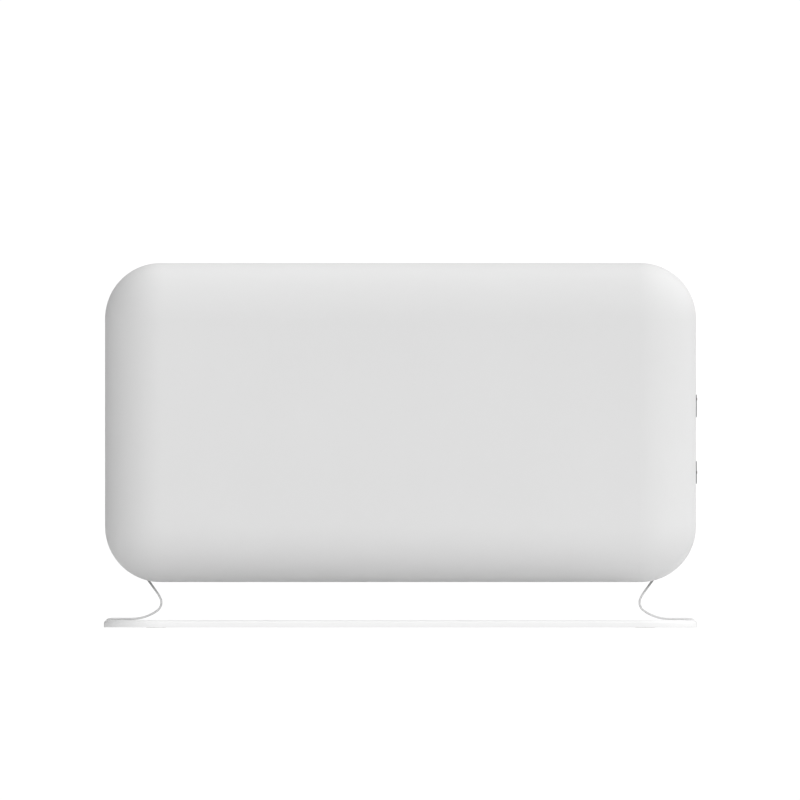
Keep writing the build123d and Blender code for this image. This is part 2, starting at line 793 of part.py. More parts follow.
with BuildPart() as element_bushes:
    for side in (-1, 1):
        with BuildSketch(Plane.YZ.offset(side * web_outer)):
            with Locations((0, element_z)):
                Circle(bush_diameter / 2)
        extrude(amount=side * bush_flange)
        with BuildSketch(Plane.YZ.offset(side * web_outer)):
            with Locations((0, element_z)):
                Circle(bush_neck / 2)
        extrude(amount=-side * (frame_sheet + bush_flange))
    with BuildSketch(Plane.YZ):
        with Locations((0, element_z)):
            Circle(rod_diameter / 2 + rod_fit)
    extrude(amount=web_outer + bush_flange, both=True, mode=Mode.SUBTRACT)
write(element_bushes.part, "element_bushes")

# Terminal pins of the rod with flat push-on tags
rod_end = web_outer + rod_overhang
with BuildPart() as element_terminals:
    for side in (-1, 1):
        with BuildSketch(Plane.YZ.offset(side * rod_end)):
            with Locations((0, element_z)):
                Circle(pin_diameter / 2)
        extrude(amount=side * pin_length)
        with BuildSketch(Plane.YZ.offset(side * (rod_end + pin_length - tag_thickness))):
            with Locations((0, element_z + tag_length / 2 - tag_width / 2)):
                Rectangle(tag_width, tag_length)
        extrude(amount=side * tag_thickness)
write(element_terminals.part, "element_terminals")

# Thermal cutout: bimetal disc housing riveted to the outside of the front baffle
with BuildPart() as thermal_cutout:
    with BuildSketch(wall_plane(frame_front - baffle_sheet)):
        with Locations((cutout_x, cutout_z)):
            SlotOverall(cutout_ear, cutout_ear_width)
    extrude(amount=cutout_ear_sheet)
    with BuildSketch(wall_plane(frame_front - baffle_sheet)):
        with Locations((cutout_x, cutout_z)):
            Circle(cutout_diameter / 2)
    extrude(amount=cutout_thickness)
    with BuildSketch(wall_plane(frame_front - baffle_sheet - cutout_thickness)):
        with Locations((cutout_x, cutout_z)):
            with GridLocations(cutout_tag_spacing, 0, 2, 1):
                Rectangle(tag_thickness, tag_width)
    extrude(amount=tag_length)
write(thermal_cutout.part, "thermal_cutout")

# Thermal fuse held by a clip beside it
fuse_y = frame_front - baffle_sheet - fuse_clip_sheet - fuse_fit - fuse_diameter / 2
with BuildPart() as thermal_fuse:
    with BuildSketch(Plane.YZ.offset(fuse_x)):
        with Locations((fuse_y, cutout_z)):
            Circle(fuse_diameter / 2)
    extrude(amount=fuse_length / 2, both=True)
    with BuildSketch(Plane.YZ.offset(fuse_x)):
        with Locations((fuse_y, cutout_z)):
            Circle(fuse_lead / 2)
    extrude(amount=fuse_length / 2 + fuse_lead_length, both=True)
write(thermal_fuse.part, "thermal_fuse")

with BuildPart() as fuse_clip:
    with BuildSketch(Plane.YZ.offset(fuse_x)):
        with Locations((fuse_y, cutout_z)):
            Circle(fuse_diameter / 2 + fuse_fit + fuse_clip_sheet)
            with Locations((fuse_diameter / 2 + fuse_fit + fuse_clip_sheet / 2, fuse_strap / 2)):
                Rectangle(fuse_clip_sheet, fuse_strap)
            Circle(fuse_diameter / 2 + fuse_fit, mode=Mode.SUBTRACT)
    extrude(amount=fuse_clip_width / 2, both=True)
write(fuse_clip.part, "fuse_clip")

# Control bezel: stadium-shaped dish in the right side, lip behind the shell wall
with BuildPart() as control_bezel:
    with BuildSketch(Plane.YZ.offset(half_width - grille_recess)):
        with Locations((0, control_mid)):
            SlotCenterToCenter(control_spacing, bezel_width - 2 * bezel_fit, rotation=90)
    extrude(amount=-(bezel_depth - grille_recess + bezel_wall))
    with BuildSketch(Plane.YZ.offset(side_inner)):
        with Locations((0, control_mid)):
            SlotCenterToCenter(control_spacing, bezel_width + 2 * bezel_lip, rotation=90)
    extrude(amount=-bezel_wall)
    with BuildSketch(Plane.YZ.offset(half_width)):
        with Locations((0, control_mid)):
            SlotCenterToCenter(control_spacing, bezel_width - 2 * bezel_fit - 2 * bezel_wall,
                               rotation=90)
    extrude(amount=-bezel_depth, mode=Mode.SUBTRACT)
    dish = control_bezel.faces().filter_by(Axis.X).sort_by(Axis.X)[1]
    fillet(dish.edges(), bezel_edge_radius)
    with BuildSketch(Plane.YZ.offset(dish_floor)):
        with Locations((0, power_z), (0, thermostat_z)):
            Circle(shaft_diameter / 2 + bezel_hole_fit)
        with Locations((0, control_mid)):
            Circle(lamp_diameter / 2 + lamp_fit)
    extrude(amount=-bezel_wall, mode=Mode.SUBTRACT)
write(control_bezel.part, "control_bezel")

# Control bracket: bent sheet carrying both switches behind the bezel
bracket_leg_y = bracket_width / 2 - bracket_sheet / 2
with BuildPart() as control_bracket:
    with BuildSketch(Plane.XY.offset(control_mid - bracket_height / 2)):
        with Locations((bracket_face - bracket_sheet / 2, 0)):
            Rectangle(bracket_sheet, bracket_width)
        leg_length = bracket_face - web_outer
        with GridLocations(0, bracket_width - bracket_sheet, 1, 2):
            with Locations((web_outer + leg_length / 2, 0)):
                Rectangle(leg_length, bracket_sheet)
        with GridLocations(0, bracket_width + bracket_foot - 2 * bracket_sheet, 1, 2):
            with Locations((web_outer + bracket_sheet / 2, 0)):
                Rectangle(bracket_sheet, bracket_foot)
    extrude(amount=bracket_height)
    with BuildSketch(Plane.YZ.offset(bracket_face)):
        with Locations((0, power_z), (0, thermostat_z)):
            Circle(bushing_diameter / 2 + bushing_hole_fit)
        with Locations((0, control_mid)):
            Circle(lamp_head / 2 + lamp_fit)
    extrude(amount=-bracket_sheet, mode=Mode.SUBTRACT)
    with BuildSketch(Plane.YZ.offset(web_outer)):
        with Locations(*bracket_screw_places):
            Circle(small_screw / 2 + screw_hole_fit)
    extrude(amount=bracket_sheet, mode=Mode.SUBTRACT)
write(control_bracket.part, "control_bracket")

switch_face = bracket_face - bracket_sheet
switch_depth = switch_face - web_outer - switch_back_gap


def shaft_bore(z):
    """Blind round bore for a shaft, from the bushing's end into the switch body."""
    with BuildPart() as bore:
        with BuildSketch(Plane.YZ.offset(bracket_face + bushing_length)):
            with Locations((0, z)):
                Circle(shaft_diameter / 2 + shaft_fit)
        extrude(amount=-(bushing_length + bracket_sheet + shaft_insertion + shaft_bore_spare))
    return bore.part


power_bore = shaft_bore(power_z)
thermostat_bore = shaft_bore(thermostat_z)

# Rotary power switch behind the upper knob
with BuildPart() as power_switch:
    with BuildSketch(Plane.YZ.offset(switch_face)):
        with Locations((0, power_z)):
            Circle(switch_diameter / 2)
    extrude(amount=-switch_depth)
    with BuildSketch(Plane.YZ.offset(switch_face)):
        with Locations((0, power_z)):
            Circle(bushing_diameter / 2)
    extrude(amount=bracket_sheet + bushing_length)
    add(power_bore, mode=Mode.SUBTRACT)
    with BuildSketch(Plane.XY.offset(power_z + switch_diameter / 2 - switch_tag_sunk)):
        with Locations((switch_face - switch_depth / 2, 0)):
            with GridLocations(switch_tag_spacing_x, switch_tag_spacing_y, 2, 2):
                Rectangle(tag_thickness, tag_width)
    extrude(amount=tag_length)
write(power_switch.part, "power_switch")

# Thermostat behind the lower knob
with BuildPart() as thermostat:
    with BuildSketch(Plane.YZ.offset(switch_face)):
        with Locations((0, thermostat_z)):
            RectangleRounded(thermostat_width, thermostat_height, thermostat_corner)
    extrude(amount=-switch_depth)
    with BuildSketch(Plane.YZ.offset(switch_face)):
        with Locations((0, thermostat_z)):
            Circle(bushing_diameter / 2)
    extrude(amount=bracket_sheet + bushing_length)
    add(thermostat_bore, mode=Mode.SUBTRACT)
    with BuildSketch(Plane.XY.offset(thermostat_z + thermostat_height / 2)):
        with Locations((switch_face - switch_depth / 2, 0)):
            with GridLocations(0, thermostat_tag_spacing, 1, 2):
                Rectangle(tag_thickness, tag_width)
    extrude(amount=thermostat_tag_length)
write(thermostat.part, "thermostat")

# Thin nuts that hold both bushings on the bracket
with BuildPart() as bushing_nuts:
    with BuildSketch(Plane.YZ.offset(bracket_face)):
        with Locations((0, power_z), (0, thermostat_z)):
            RegularPolygon(bushing_nut_size / 2, 6, major_radius=False)
            Circle(bushing_diameter / 2 + nut_fit, mode=Mode.SUBTRACT)
    extrude(amount=bushing_nut)
write(bushing_nuts.part, "bushing_nuts")

knob_base = dish_floor + knob_gap
knob_face = half_width + knob_proud
shaft_end = knob_face - knob_wall - shaft_end_gap


def make_shaft(z):
    """Control shaft, round in its bushing and flatted where the knob pushes on."""
    with BuildPart() as shaft:
        with BuildSketch(Plane.YZ.offset(switch_face - shaft_insertion)):
            with Locations((0, z)):
                Circle(shaft_diameter / 2)
        extrude(amount=shaft_end - switch_face + shaft_insertion)
        with BuildSketch(Plane.YZ.offset(knob_base)):
            with Locations((0, z + shaft_flat)):
                Rectangle(2 * shaft_diameter, shaft_diameter)
        extrude(amount=shaft_end - knob_base, mode=Mode.SUBTRACT)
    return shaft.part


def make_knob(z, pip_turn):
    """Knob hollow behind, with a flatted hub and a raised pip turned to its setting."""
    with BuildPart() as knob:
        with BuildSketch(Plane.YZ.offset(knob_base)):
            with Locations((0, z)):
                Circle(knob_diameter / 2)
        extrude(amount=knob_face - knob_base)
        fillet(knob.faces().sort_by(Axis.X)[-1].edges(), knob_edge_radius)
        with BuildSketch(Plane.YZ.offset(knob_base)):
            with Locations((0, z)):
                Circle(knob_diameter / 2 - knob_wall)
                Circle(knob_hub / 2, mode=Mode.SUBTRACT)
        extrude(amount=knob_face - knob_wall - knob_base, mode=Mode.SUBTRACT)
        with BuildSketch(Plane.YZ.offset(knob_base)):
            with Locations((0, z)):
                Circle(shaft_diameter / 2 + shaft_fit)
                with Locations((0, shaft_flat + shaft_fit)):
                    Rectangle(2 * shaft_diameter, shaft_diameter, mode=Mode.SUBTRACT)
        extrude(amount=shaft_end + shaft_end_gap / 2 - knob_base, mode=Mode.SUBTRACT)
        with BuildSketch(Plane.YZ.offset(knob_face)):
            with Locations((0, z)):
                with PolarLocations(pip_radius, 1, start_angle=pip_turn):
                    Circle(pip_diameter / 2)
        extrude(amount=pip_height)
    return knob.part


power_shaft = make_shaft(power_z)
write(power_shaft, "power_shaft")
thermostat_shaft = make_shaft(thermostat_z)
write(thermostat_shaft, "thermostat_shaft")
power_knob = make_knob(power_z, 90)
write(power_knob, "power_knob")
thermostat_knob = make_knob(thermostat_z, 180)
write(thermostat_knob, "thermostat_knob")

# Pilot lamp between the knobs, its lens just proud of the dish floor
with BuildPart() as pilot_lamp:
    with BuildSketch(Plane.YZ.offset(dish_floor + lamp_proud)):
        with Locations((0, control_mid)):
            Circle(lamp_diameter / 2)
    extrude(amount=-(lamp_proud + bezel_wall))
    fillet(pilot_lamp.faces().sort_by(Axis.X)[-1].edges(), lamp_edge_radius)
    with BuildSketch(Plane.YZ.offset(dish_floor - bezel_wall)):
        with Locations((0, control_mid)):
            Circle(lamp_head / 2)
    extrude(amount=-(bracket_set_in + bracket_sheet + lamp_tail))
write(pilot_lamp.part, "pilot_lamp")

# Tip-over switch on the left side frame: housing, cover, pin, pendulum and reed switch
tip_back = -web_outer
tip_open = tip_back - tip_depth
tip_pin_z = tip_z + tip_length / 2 - tip_pin_drop
with BuildPart() as tip_switch_housing:
    with BuildSketch(Plane.YZ.offset(tip_back)):
        with Locations((0, tip_z)):
            RectangleRounded(tip_width, tip_length, tip_corner)
    extrude(amount=-tip_depth)
    with BuildSketch(Plane.YZ.offset(tip_back)):
        with Locations((0, tip_z)):
            Rectangle(tip_ear_width, tip_length + 2 * tip_ear)
    extrude(amount=-tip_wall)
    with BuildSketch(Plane.YZ.offset(tip_open)):
        with Locations((0, tip_z)):
            RectangleRounded(tip_width - 2 * tip_wall, tip_length - 2 * tip_wall, tip_corner - tip_wall)
    extrude(amount=tip_depth - tip_wall, mode=Mode.SUBTRACT)
    with BuildSketch(Plane.YZ.offset(tip_back - tip_wall)):
        with Locations((0, tip_pin_z)):
            Circle(tip_pin_diameter / 2 + tip_fit)
    extrude(amount=tip_wall, mode=Mode.SUBTRACT)
    with BuildSketch(Plane.YZ.offset(tip_back)):
        with Locations(*tip_screw_places):
            Circle(small_screw / 2 + screw_hole_fit)
    extrude(amount=-tip_wall, mode=Mode.SUBTRACT)
write(tip_switch_housing.part, "tip_switch_housing")

with BuildPart() as tip_switch_cover:
    with BuildSketch(Plane.YZ.offset(tip_open)):
        with Locations((0, tip_z)):
            RectangleRounded(tip_width, tip_length, tip_corner)
        with Locations((0, tip_pin_z)):
            Circle(tip_pin_diameter / 2 + tip_fit, mode=Mode.SUBTRACT)
    extrude(amount=-tip_cover)
write(tip_switch_cover.part, "tip_switch_cover")

with BuildPart() as tip_switch_pin:
    with BuildSketch(Plane.YZ.offset(tip_back)):
        with Locations((0, tip_pin_z)):
            Circle(tip_pin_diameter / 2)
    extrude(amount=-(tip_depth + tip_cover))
write(tip_switch_pin.part, "tip_switch_pin")

pendulum_mid_x = tip_back - tip_wall - (tip_depth - tip_wall) / 2
with BuildPart() as tip_switch_pendulum:
    with BuildSketch(Plane.YZ.offset(pendulum_mid_x)):
        with Locations((0, tip_pin_z - tip_arm)):
            Circle(tip_weight / 2)
    extrude(amount=tip_weight_thickness / 2, both=True)
    with BuildSketch(Plane.YZ.offset(pendulum_mid_x)):
        with Locations((0, tip_pin_z - tip_arm / 2)):
            Rectangle(tip_arm_width, tip_arm)
    extrude(amount=tip_arm_width / 2, both=True)
    with BuildSketch(Plane.YZ.offset(pendulum_mid_x)):
        with Locations((0, tip_pin_z)):
            Circle(tip_hub / 2)
    extrude(amount=(tip_depth - tip_wall) / 2 - tip_play, both=True)
    with BuildSketch(Plane.YZ.offset(pendulum_mid_x)):
        with Locations((0, tip_pin_z)):
            Circle(tip_pin_diameter / 2 + tip_fit)
    extrude(amount=tip_depth / 2, both=True, mode=Mode.SUBTRACT)
write(tip_switch_pendulum.part, "tip_switch_pendulum")

# Potted reed switch under the pendulum's magnet
with BuildPart() as tip_reed_switch:
    with BuildSketch(Plane.YZ.offset(pendulum_mid_x)):
        with Locations((0, tip_z - tip_length / 2 + tip_wall + reed_height / 2)):
            Rectangle(reed_width, reed_height)
    extrude(amount=reed_depth / 2, both=True)
    fillet(tip_reed_switch.edges().filter_by(Axis.X).group_by(Axis.Z)[-1], reed_edge_radius)
write(tip_reed_switch.part, "tip_reed_switch")

# Terminal block on the right side frame, where the supply lead would end
with BuildPart() as terminal_block:
    with BuildSketch(Plane.YZ.offset(web_outer)):
        with Locations((0, block_z)):
            Rectangle(block_width + 2 * block_ear, block_ear_width)
            Rectangle(block_width, block_height)
        with Locations(*block_screw_places):
            Circle(small_screw / 2 + screw_hole_fit, mode=Mode.SUBTRACT)
    extrude(amount=block_foot)
    with BuildSketch(Plane.YZ.offset(web_outer)):
        with Locations((0, block_z)):
            Rectangle(block_width, block_height)
    extrude(amount=block_depth)
    with BuildSketch(Plane.YZ.offset(web_outer + block_depth)):
        with Locations((0, block_z)):
            with GridLocations(block_width / block_ways, block_row_spacing, block_ways, 2):
                Circle(block_screw_well / 2)
    extrude(amount=-block_screw_well_depth, mode=Mode.SUBTRACT)
    with BuildSketch(Plane.XY.offset(block_z + block_height / 2)):
        with Locations((web_outer + block_depth / 2, 0)):
            with GridLocations(0, block_width / block_ways, 1, block_ways):
                Circle(block_wire_hole / 2)
    extrude(amount=-block_height, mode=Mode.SUBTRACT)
write(terminal_block.part, "terminal_block")


# Bolts and clinch nuts that join the legs to the side frames
with BuildPart() as leg_bolts:
    for side in (-1, 1):
        with BuildSketch(Plane.YZ.offset(side * (web_outer + leg_thickness))):
            with Locations(*leg_bolt_places):
                Circle(leg_bolt_head / 2)
        extrude(amount=side * leg_bolt_head_height)
        with BuildSketch(Plane.YZ.offset(side * (web_outer + leg_thickness))):
            with Locations(*leg_bolt_places):
                Circle(leg_bolt / 2)
        extrude(amount=-side * (leg_thickness + frame_sheet + nut_height + bolt_spare))
write(leg_bolts.part, "leg_bolts")

with BuildPart() as leg_nuts:
    for side in (-1, 1):
        with BuildSketch(Plane.YZ.offset(side * web_inner)):
            with Locations(*leg_bolt_places):
                RegularPolygon(nut_size / 2, 6, major_radius=False)
                Circle(leg_bolt / 2 + nut_fit, mode=Mode.SUBTRACT)
        extrude(amount=-side * nut_height)
write(leg_nuts.part, "leg_nuts")

# Screws from the rear through the shell's bosses into the frame flanges
with BuildPart() as rear_screws:
    seat_y = rear_face - shell_screw_recess
    with BuildSketch(wall_plane(seat_y)):
        with Locations(*boss_places):
            Circle(shell_screw_head / 2)
    extrude(amount=-shell_screw_head_height)
    with BuildSketch(wall_plane(seat_y)):
        with Locations(*boss_places):
            Circle(shell_screw / 2)
    extrude(amount=seat_y - frame_rear + frame_sheet + screw_bite)
write(rear_screws.part, "rear_screws")

# Screws that hold the front shell's flange to the clips
with BuildPart() as front_screws:
    with BuildSketch(wall_plane(clip_face)):
        with Locations(*clip_screw_places):
            Circle(shell_screw_head / 2)
    extrude(amount=-shell_screw_head_height)
    with BuildSketch(wall_plane(clip_face)):
        with Locations(*clip_screw_places):
            Circle(shell_screw / 2)
    extrude(amount=frame_sheet + front_sheet + screw_bite)
write(front_screws.part, "front_screws")

# Small screws of the clips, control bracket, terminal block and tip-over switch
screw_groups = [
    (clip_web_places, -1, frame_sheet),
    (clip_web_places, 1, frame_sheet),
    (bracket_screw_places, 1, bracket_sheet),
    (block_screw_places, 1, block_foot),
    (tip_screw_places, -1, tip_wall),
]
with BuildPart() as frame_screws:
    for places, side, seat in screw_groups:
        with BuildSketch(Plane.YZ.offset(side * (web_outer + seat))):
            with Locations(*places):
                Circle(small_screw_head / 2)
        extrude(amount=side * small_screw_head_height)
        with BuildSketch(Plane.YZ.offset(side * (web_outer + seat))):
            with Locations(*places):
                Circle(small_screw / 2)
        extrude(amount=-side * small_screw_length)
write(frame_screws.part, "frame_screws")

# Rivets that hold both baffles on the frame flanges
with BuildPart() as baffle_rivets:
    for sign in (-1, 1):
        heights = (body_bottom + rear_baffle_bottom + rivet_low, body_mid + rivet_high)
        with BuildSketch(wall_plane(sign * (frame_rear + baffle_sheet))):
            with Locations(*[(side * baffle_rivet_x, z) for side in (-1, 1) for z in heights]):
                Circle(rivet_head / 2)
        extrude(amount=-sign * rivet_head_height)
write(baffle_rivets.part, "baffle_rivets")
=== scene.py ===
import math

import bmesh
import bpy
from mathutils import Matrix, Vector


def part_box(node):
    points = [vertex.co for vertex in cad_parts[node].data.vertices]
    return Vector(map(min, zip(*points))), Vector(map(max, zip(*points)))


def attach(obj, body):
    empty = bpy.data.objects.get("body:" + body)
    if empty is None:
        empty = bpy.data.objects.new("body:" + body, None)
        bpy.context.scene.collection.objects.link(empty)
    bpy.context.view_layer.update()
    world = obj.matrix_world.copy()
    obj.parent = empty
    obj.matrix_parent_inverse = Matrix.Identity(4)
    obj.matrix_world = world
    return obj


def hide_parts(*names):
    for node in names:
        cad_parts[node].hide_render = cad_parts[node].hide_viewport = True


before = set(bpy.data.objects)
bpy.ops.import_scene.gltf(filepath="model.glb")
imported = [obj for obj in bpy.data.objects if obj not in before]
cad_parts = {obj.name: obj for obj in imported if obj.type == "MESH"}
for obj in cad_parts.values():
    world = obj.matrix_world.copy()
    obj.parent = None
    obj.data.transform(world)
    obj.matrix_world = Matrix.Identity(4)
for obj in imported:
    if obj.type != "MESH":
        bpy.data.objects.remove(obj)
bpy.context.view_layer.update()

bl_info = {
    "name": "Convector Heater Finish",
    "version": (1, 0, 0),
    "blender": (4, 5, 0),
    "location": "3D View > Sidebar > Heater",
    "description": "Finishes, printed scales, screw heads and studio for a convector heater",
    "category": "Object",
}

MM = 0.001

# Points closer than this are one point
SAME_POINT = 0.001 * MM
# Edges that bend by more than this, in degrees, stay sharp
SHARP_BEND = 35

# Light goes as deep in every colour, as it does in a white or black plastic
EVEN_SCATTER = (1.0, 1.0, 1.0)

# From the dish's floor to the back of a knob
KNOB_GAP = 0.6 * MM
# How far down its sides the pip on a knob is painted
PIP_PAINT_DEPTH = 0.35 * MM

# Turns of the power switch's places, in degrees from the top
POWER_PLACES = (0, 45, 90, 135)
# Stops of the thermostat's scale, in degrees from the top, and its steps of 5 degrees
SCALE_STOPS = (-135, 135)
SCALE_STEPS = 54
# The scale's thin end, as a share of a tick's width
THIN_END_SHARE = 0.5
# Font size for a numeral's height, and the steps in each of its curves
FONT_SIZE_SHARE = 1.4
FONT_STEPS = 4
# Turns text that lies flat so that it is read from the heater's right side
FACING_RIGHT = Matrix(((0, 0, 1, 0), (1, 0, 0, 0), (0, 1, 0, 0), (0, 0, 0, 1)))

# Rear screws: shank radius and head height, as shares of the head's radius
SHANK_SHARE = 0.52
HEAD_SHARE = 0.69
# Pan head from its crown to its seat, in shares of its radius and height
PAN_HEAD = ((0, 1), (0.45, 0.97), (0.78, 0.82), (0.95, 0.55), (1, 0.3), (1, 0))
SCREW_STEPS = 32
# Cross recess: reach and width of its arms, in shares of the head's radius
RECESS_REACH = 0.55
RECESS_WIDTH = 0.2
# Top of what cuts it and how deep that goes, in shares of the head's height
CUTTER_TOP = 1.02
RECESS_DEPTH = 0.8
# How much it widens to its mouth and narrows to its bottom
MOUTH_TAPER = 1.15
BOTTOM_TAPER = 0.45
# Each screw stops at a turn of its own: radians for a metre of its height over the floor
STOP_TURN = 40

# How close over the floor a surface gets the floor's own glow
FLOOR_GLOW_REACH = 40 * MM
# Width of every light as the heater sees it, in degrees
LIGHT_SPREAD = 60
# Strength of the white behind the heater, just enough to come out as full white
BACKDROP_GLOW = 1.05
# How far the camera sees, in metres
CAMERA_REACH = 50


# Colours and small helpers


def linear(code):
    """Linear colour from an sRGB hex code such as 'F4F4F2', by the sRGB standard's curve."""
    channels = [int(code[i:i + 2], 16) / 255 for i in (0, 2, 4)]
    bent = [c / 12.92 if c <= 0.04045 else ((c + 0.055) / 1.055) ** 2.4 for c in channels]
    return (*bent, 1.0)


def add_node(tree, kind, settings=None, links=None):
    """Add one node, set its values and sockets, and link its inputs."""
    made = tree.nodes.new(kind)
    for name, value in (settings or {}).items():
        if isinstance(name, int) or name in made.inputs:
            made.inputs[name].default_value = value
        else:
            setattr(made, name, value)
    for name, source in (links or {}).items():
        tree.links.new(source, made.inputs[name])
    return made


def new_material(name, shader_settings, stretch=None):
    """New material: its principled shader, and the place in metres that its patterns follow."""
    material = bpy.data.materials.new(name)
    material.use_nodes = True
    tree = material.node_tree
    tree.nodes.clear()
    shader = add_node(tree, "ShaderNodeBsdfPrincipled", shader_settings)
    add_node(tree, "ShaderNodeOutputMaterial", links={"Surface": shader.outputs[0]})
    place = add_node(tree, "ShaderNodeTexCoord").outputs["Object"]
    if stretch:
        place = add_node(
            tree, "ShaderNodeMapping", {"Scale": stretch}, {"Vector": place}
        ).outputs[0]
    return material, tree, shader, place


def finish_with(tree, shader, pattern, colours=None, span=(0.3, 0.7), roughness=None, relief=None):
    """Let a pattern of 0 to 1 give the surface its colour, roughness or relief.

    The two colours stand at the ends of the span, roughness at 0 and at 1, and relief is the
    depth in metres and the strength.
    """
    if colours:
        ramp = add_node(tree, "ShaderNodeValToRGB", links={"Fac": pattern})
        for end, position, colour in zip(ramp.color_ramp.elements, span, colours):
            end.position, end.color = position, colour
        tree.links.new(ramp.outputs["Color"], shader.inputs["Base Color"])
    if roughness:
        low, high = roughness
        level = add_node(
            tree, "ShaderNodeMapRange", {"To Min": low, "To Max": high}, {"Value": pattern}
        )
        tree.links.new(level.outputs["Result"], shader.inputs["Roughness"])
    if relief:
        depth, strength = relief
        bump = add_node(
            tree, "ShaderNodeBump", {"Distance": depth, "Strength": strength}, {"Height": pattern}
        )
        tree.links.new(bump.outputs["Normal"], shader.inputs["Normal"])


def toned(colour, share):
    """The same colour, lighter or darker by a share."""
    return (*[min(1.0, c * share) for c in colour[:3]], 1.0)


def dress(material, *node_names):
    """Give carried-over CAD nodes their material."""
    for name in node_names:
        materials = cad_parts[name].data.materials
        materials.clear()
        materials.append(material)


def new_object(name, data):
    """New object in the scene that holds a mesh, text, light or camera."""
    made = bpy.data.objects.new(name, data)
    bpy.context.scene.collection.objects.link(made)
    return made


def mesh_from(made, name):
    """Mesh of a finished bmesh, which is freed."""
    mesh = bpy.data.meshes.new(name)
    made.to_mesh(mesh)
    made.free()
    return mesh


def link_piece(name, made, material, body):
    """New piece from closed forms in a bmesh, riding on a body and taking a slot's finish."""
    bmesh.ops.recalc_face_normals(made, faces=made.faces)
    mesh = mesh_from(made, name)
    mesh.materials.append(material)
    piece = new_object(name, mesh)
    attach(piece, body)
    return piece


def add_solid(made, rings):
    """Add a closed solid to a bmesh, from rings of as many points each, capped at both ends."""
    rows = [[made.verts.new(point) for point in ring] for ring in rings]
    for cap in (rows[0], rows[-1]):
        made.faces.new(cap)
    for near, far in zip(rows, rows[1:]):
        for i in range(len(near)):
            made.faces.new((near[i - 1], near[i], far[i], far[i - 1]))


def smooth_by_angle(mesh):
    """Smooth shading, with sharp bends kept."""
    mesh.shade_smooth()
    made = bmesh.new()
    made.from_mesh(mesh)
    for edge in made.edges:
        if len(edge.link_faces) == 2:
            edge.smooth = edge.calc_face_angle() < math.radians(SHARP_BEND)
    made.to_mesh(mesh)
    made.free()


def centre_of(node_name):
    """Middle of a CAD node's box."""
    low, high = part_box(node_name)
    return (low + high) / 2


def clock_direction(turn):
    """Where a turn in degrees from the top points, along Y and Z."""
    angle = math.radians(turn)
    return Vector((math.sin(angle), math.cos(angle)))


def solids_of(node_name):
    """Boxes of the separate solids in a CAD node, as low and high corners."""
    whole = bmesh.new()
    whole.from_mesh(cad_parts[node_name].data)
    bmesh.ops.remove_doubles(whole, verts=whole.verts, dist=SAME_POINT)
    left = set(whole.verts)
    boxes = []
    while left:
        solid, reached = [], [left.pop()]
        while reached:
            vert = reached.pop()
            solid.append(vert.co.copy())
            for edge in vert.link_edges:
                other = edge.other_vert(vert)
                if other in left:
                    left.remove(other)
                    reached.append(other)
        low, high = (Vector([end(p[i] for p in solid) for i in range(3)]) for end in (min, max))
        boxes.append((low, high))
    whole.free()
    # In the same order each run: to a hundredth of a millimetre, by the low corner
    return sorted(boxes, key=lambda box: tuple(round(c, 5) for c in box[0]))


# Materials


def powder_coat(name, colour, roughness, specular):
    """Polyester powder coat baked on steel sheet: even white with a soft orange peel."""
    material, tree, shader, place = new_material(
        name, {"Roughness": roughness, "IOR": 1.5, "Specular IOR Level": specular}
    )
    # Cloud of the film's thickness, a hand wide, just above what the eye notices
    cloud = add_node(
        tree, "ShaderNodeTexNoise", {"Scale": 1 / (120 * MM), "Detail": 1.0}, {"Vector": place}
    )
    finish_with(tree, shader, cloud.outputs["Fac"], (toned(colour, 0.99), colour))
    # Peel is about 1.2 mm from crest to crest and a few thousandths deep
    peel = add_node(
        tree, "ShaderNodeTexNoise", {"Scale": 1 / (1.2 * MM), "Detail": 1.0}, {"Vector": place}
    )
    finish_with(tree, shader, peel.outputs["Fac"], relief=(0.02 * MM, 0.35))
    return material


def painted_shade_below(material, height, reach, share):
    """Painted shade on a coat: grey mixed in towards the body's underside, thickest at that
    height.
    """
    tree = material.node_tree
    shader = next(n for n in tree.nodes if n.type == "BSDF_PRINCIPLED")
    coat = shader.inputs["Base Color"].links[0].from_socket
    place = add_node(tree, "ShaderNodeTexCoord").outputs["Object"]
    level = add_node(tree, "ShaderNodeSeparateXYZ", links={"Vector": place})
    # Painted shade: the grey's share grows over the reach up to the body's underside
    film = add_node(
        tree,
        "ShaderNodeMapRange",
        {
            "interpolation_type": "SMOOTHSTEP", "From Min": height - reach, "From Max": height,
            "To Min": 0.0, "To Max": share,
        },
        {"Value": level.outputs["Z"]},
    )
    # Blotches in the painted shade are 1 to 2 mm across
    shade_blotches = add_node(
        tree, "ShaderNodeTexNoise", {"Scale": 1 / (1.5 * MM), "Detail": 3.0}, {"Vector": place}
    )
    patchy = add_node(
        tree,
        "ShaderNodeMapRange",
        {"To Min": 0.8, "To Max": 1.2},
        {"Value": shade_blotches.outputs["Fac"]},
    )
    cover = add_node(
        tree,
        "ShaderNodeMath",
        {"operation": "MULTIPLY"},
        {0: film.outputs[0], 1: patchy.outputs[0]},
    )
    mixed = add_node(
        tree,
        "ShaderNodeMixRGB",
        {"Color2": linear("5A5A5A")},
        {"Fac": cover.outputs[0], "Color1": coat},
    )
    tree.links.new(mixed.outputs[0], shader.inputs["Base Color"])


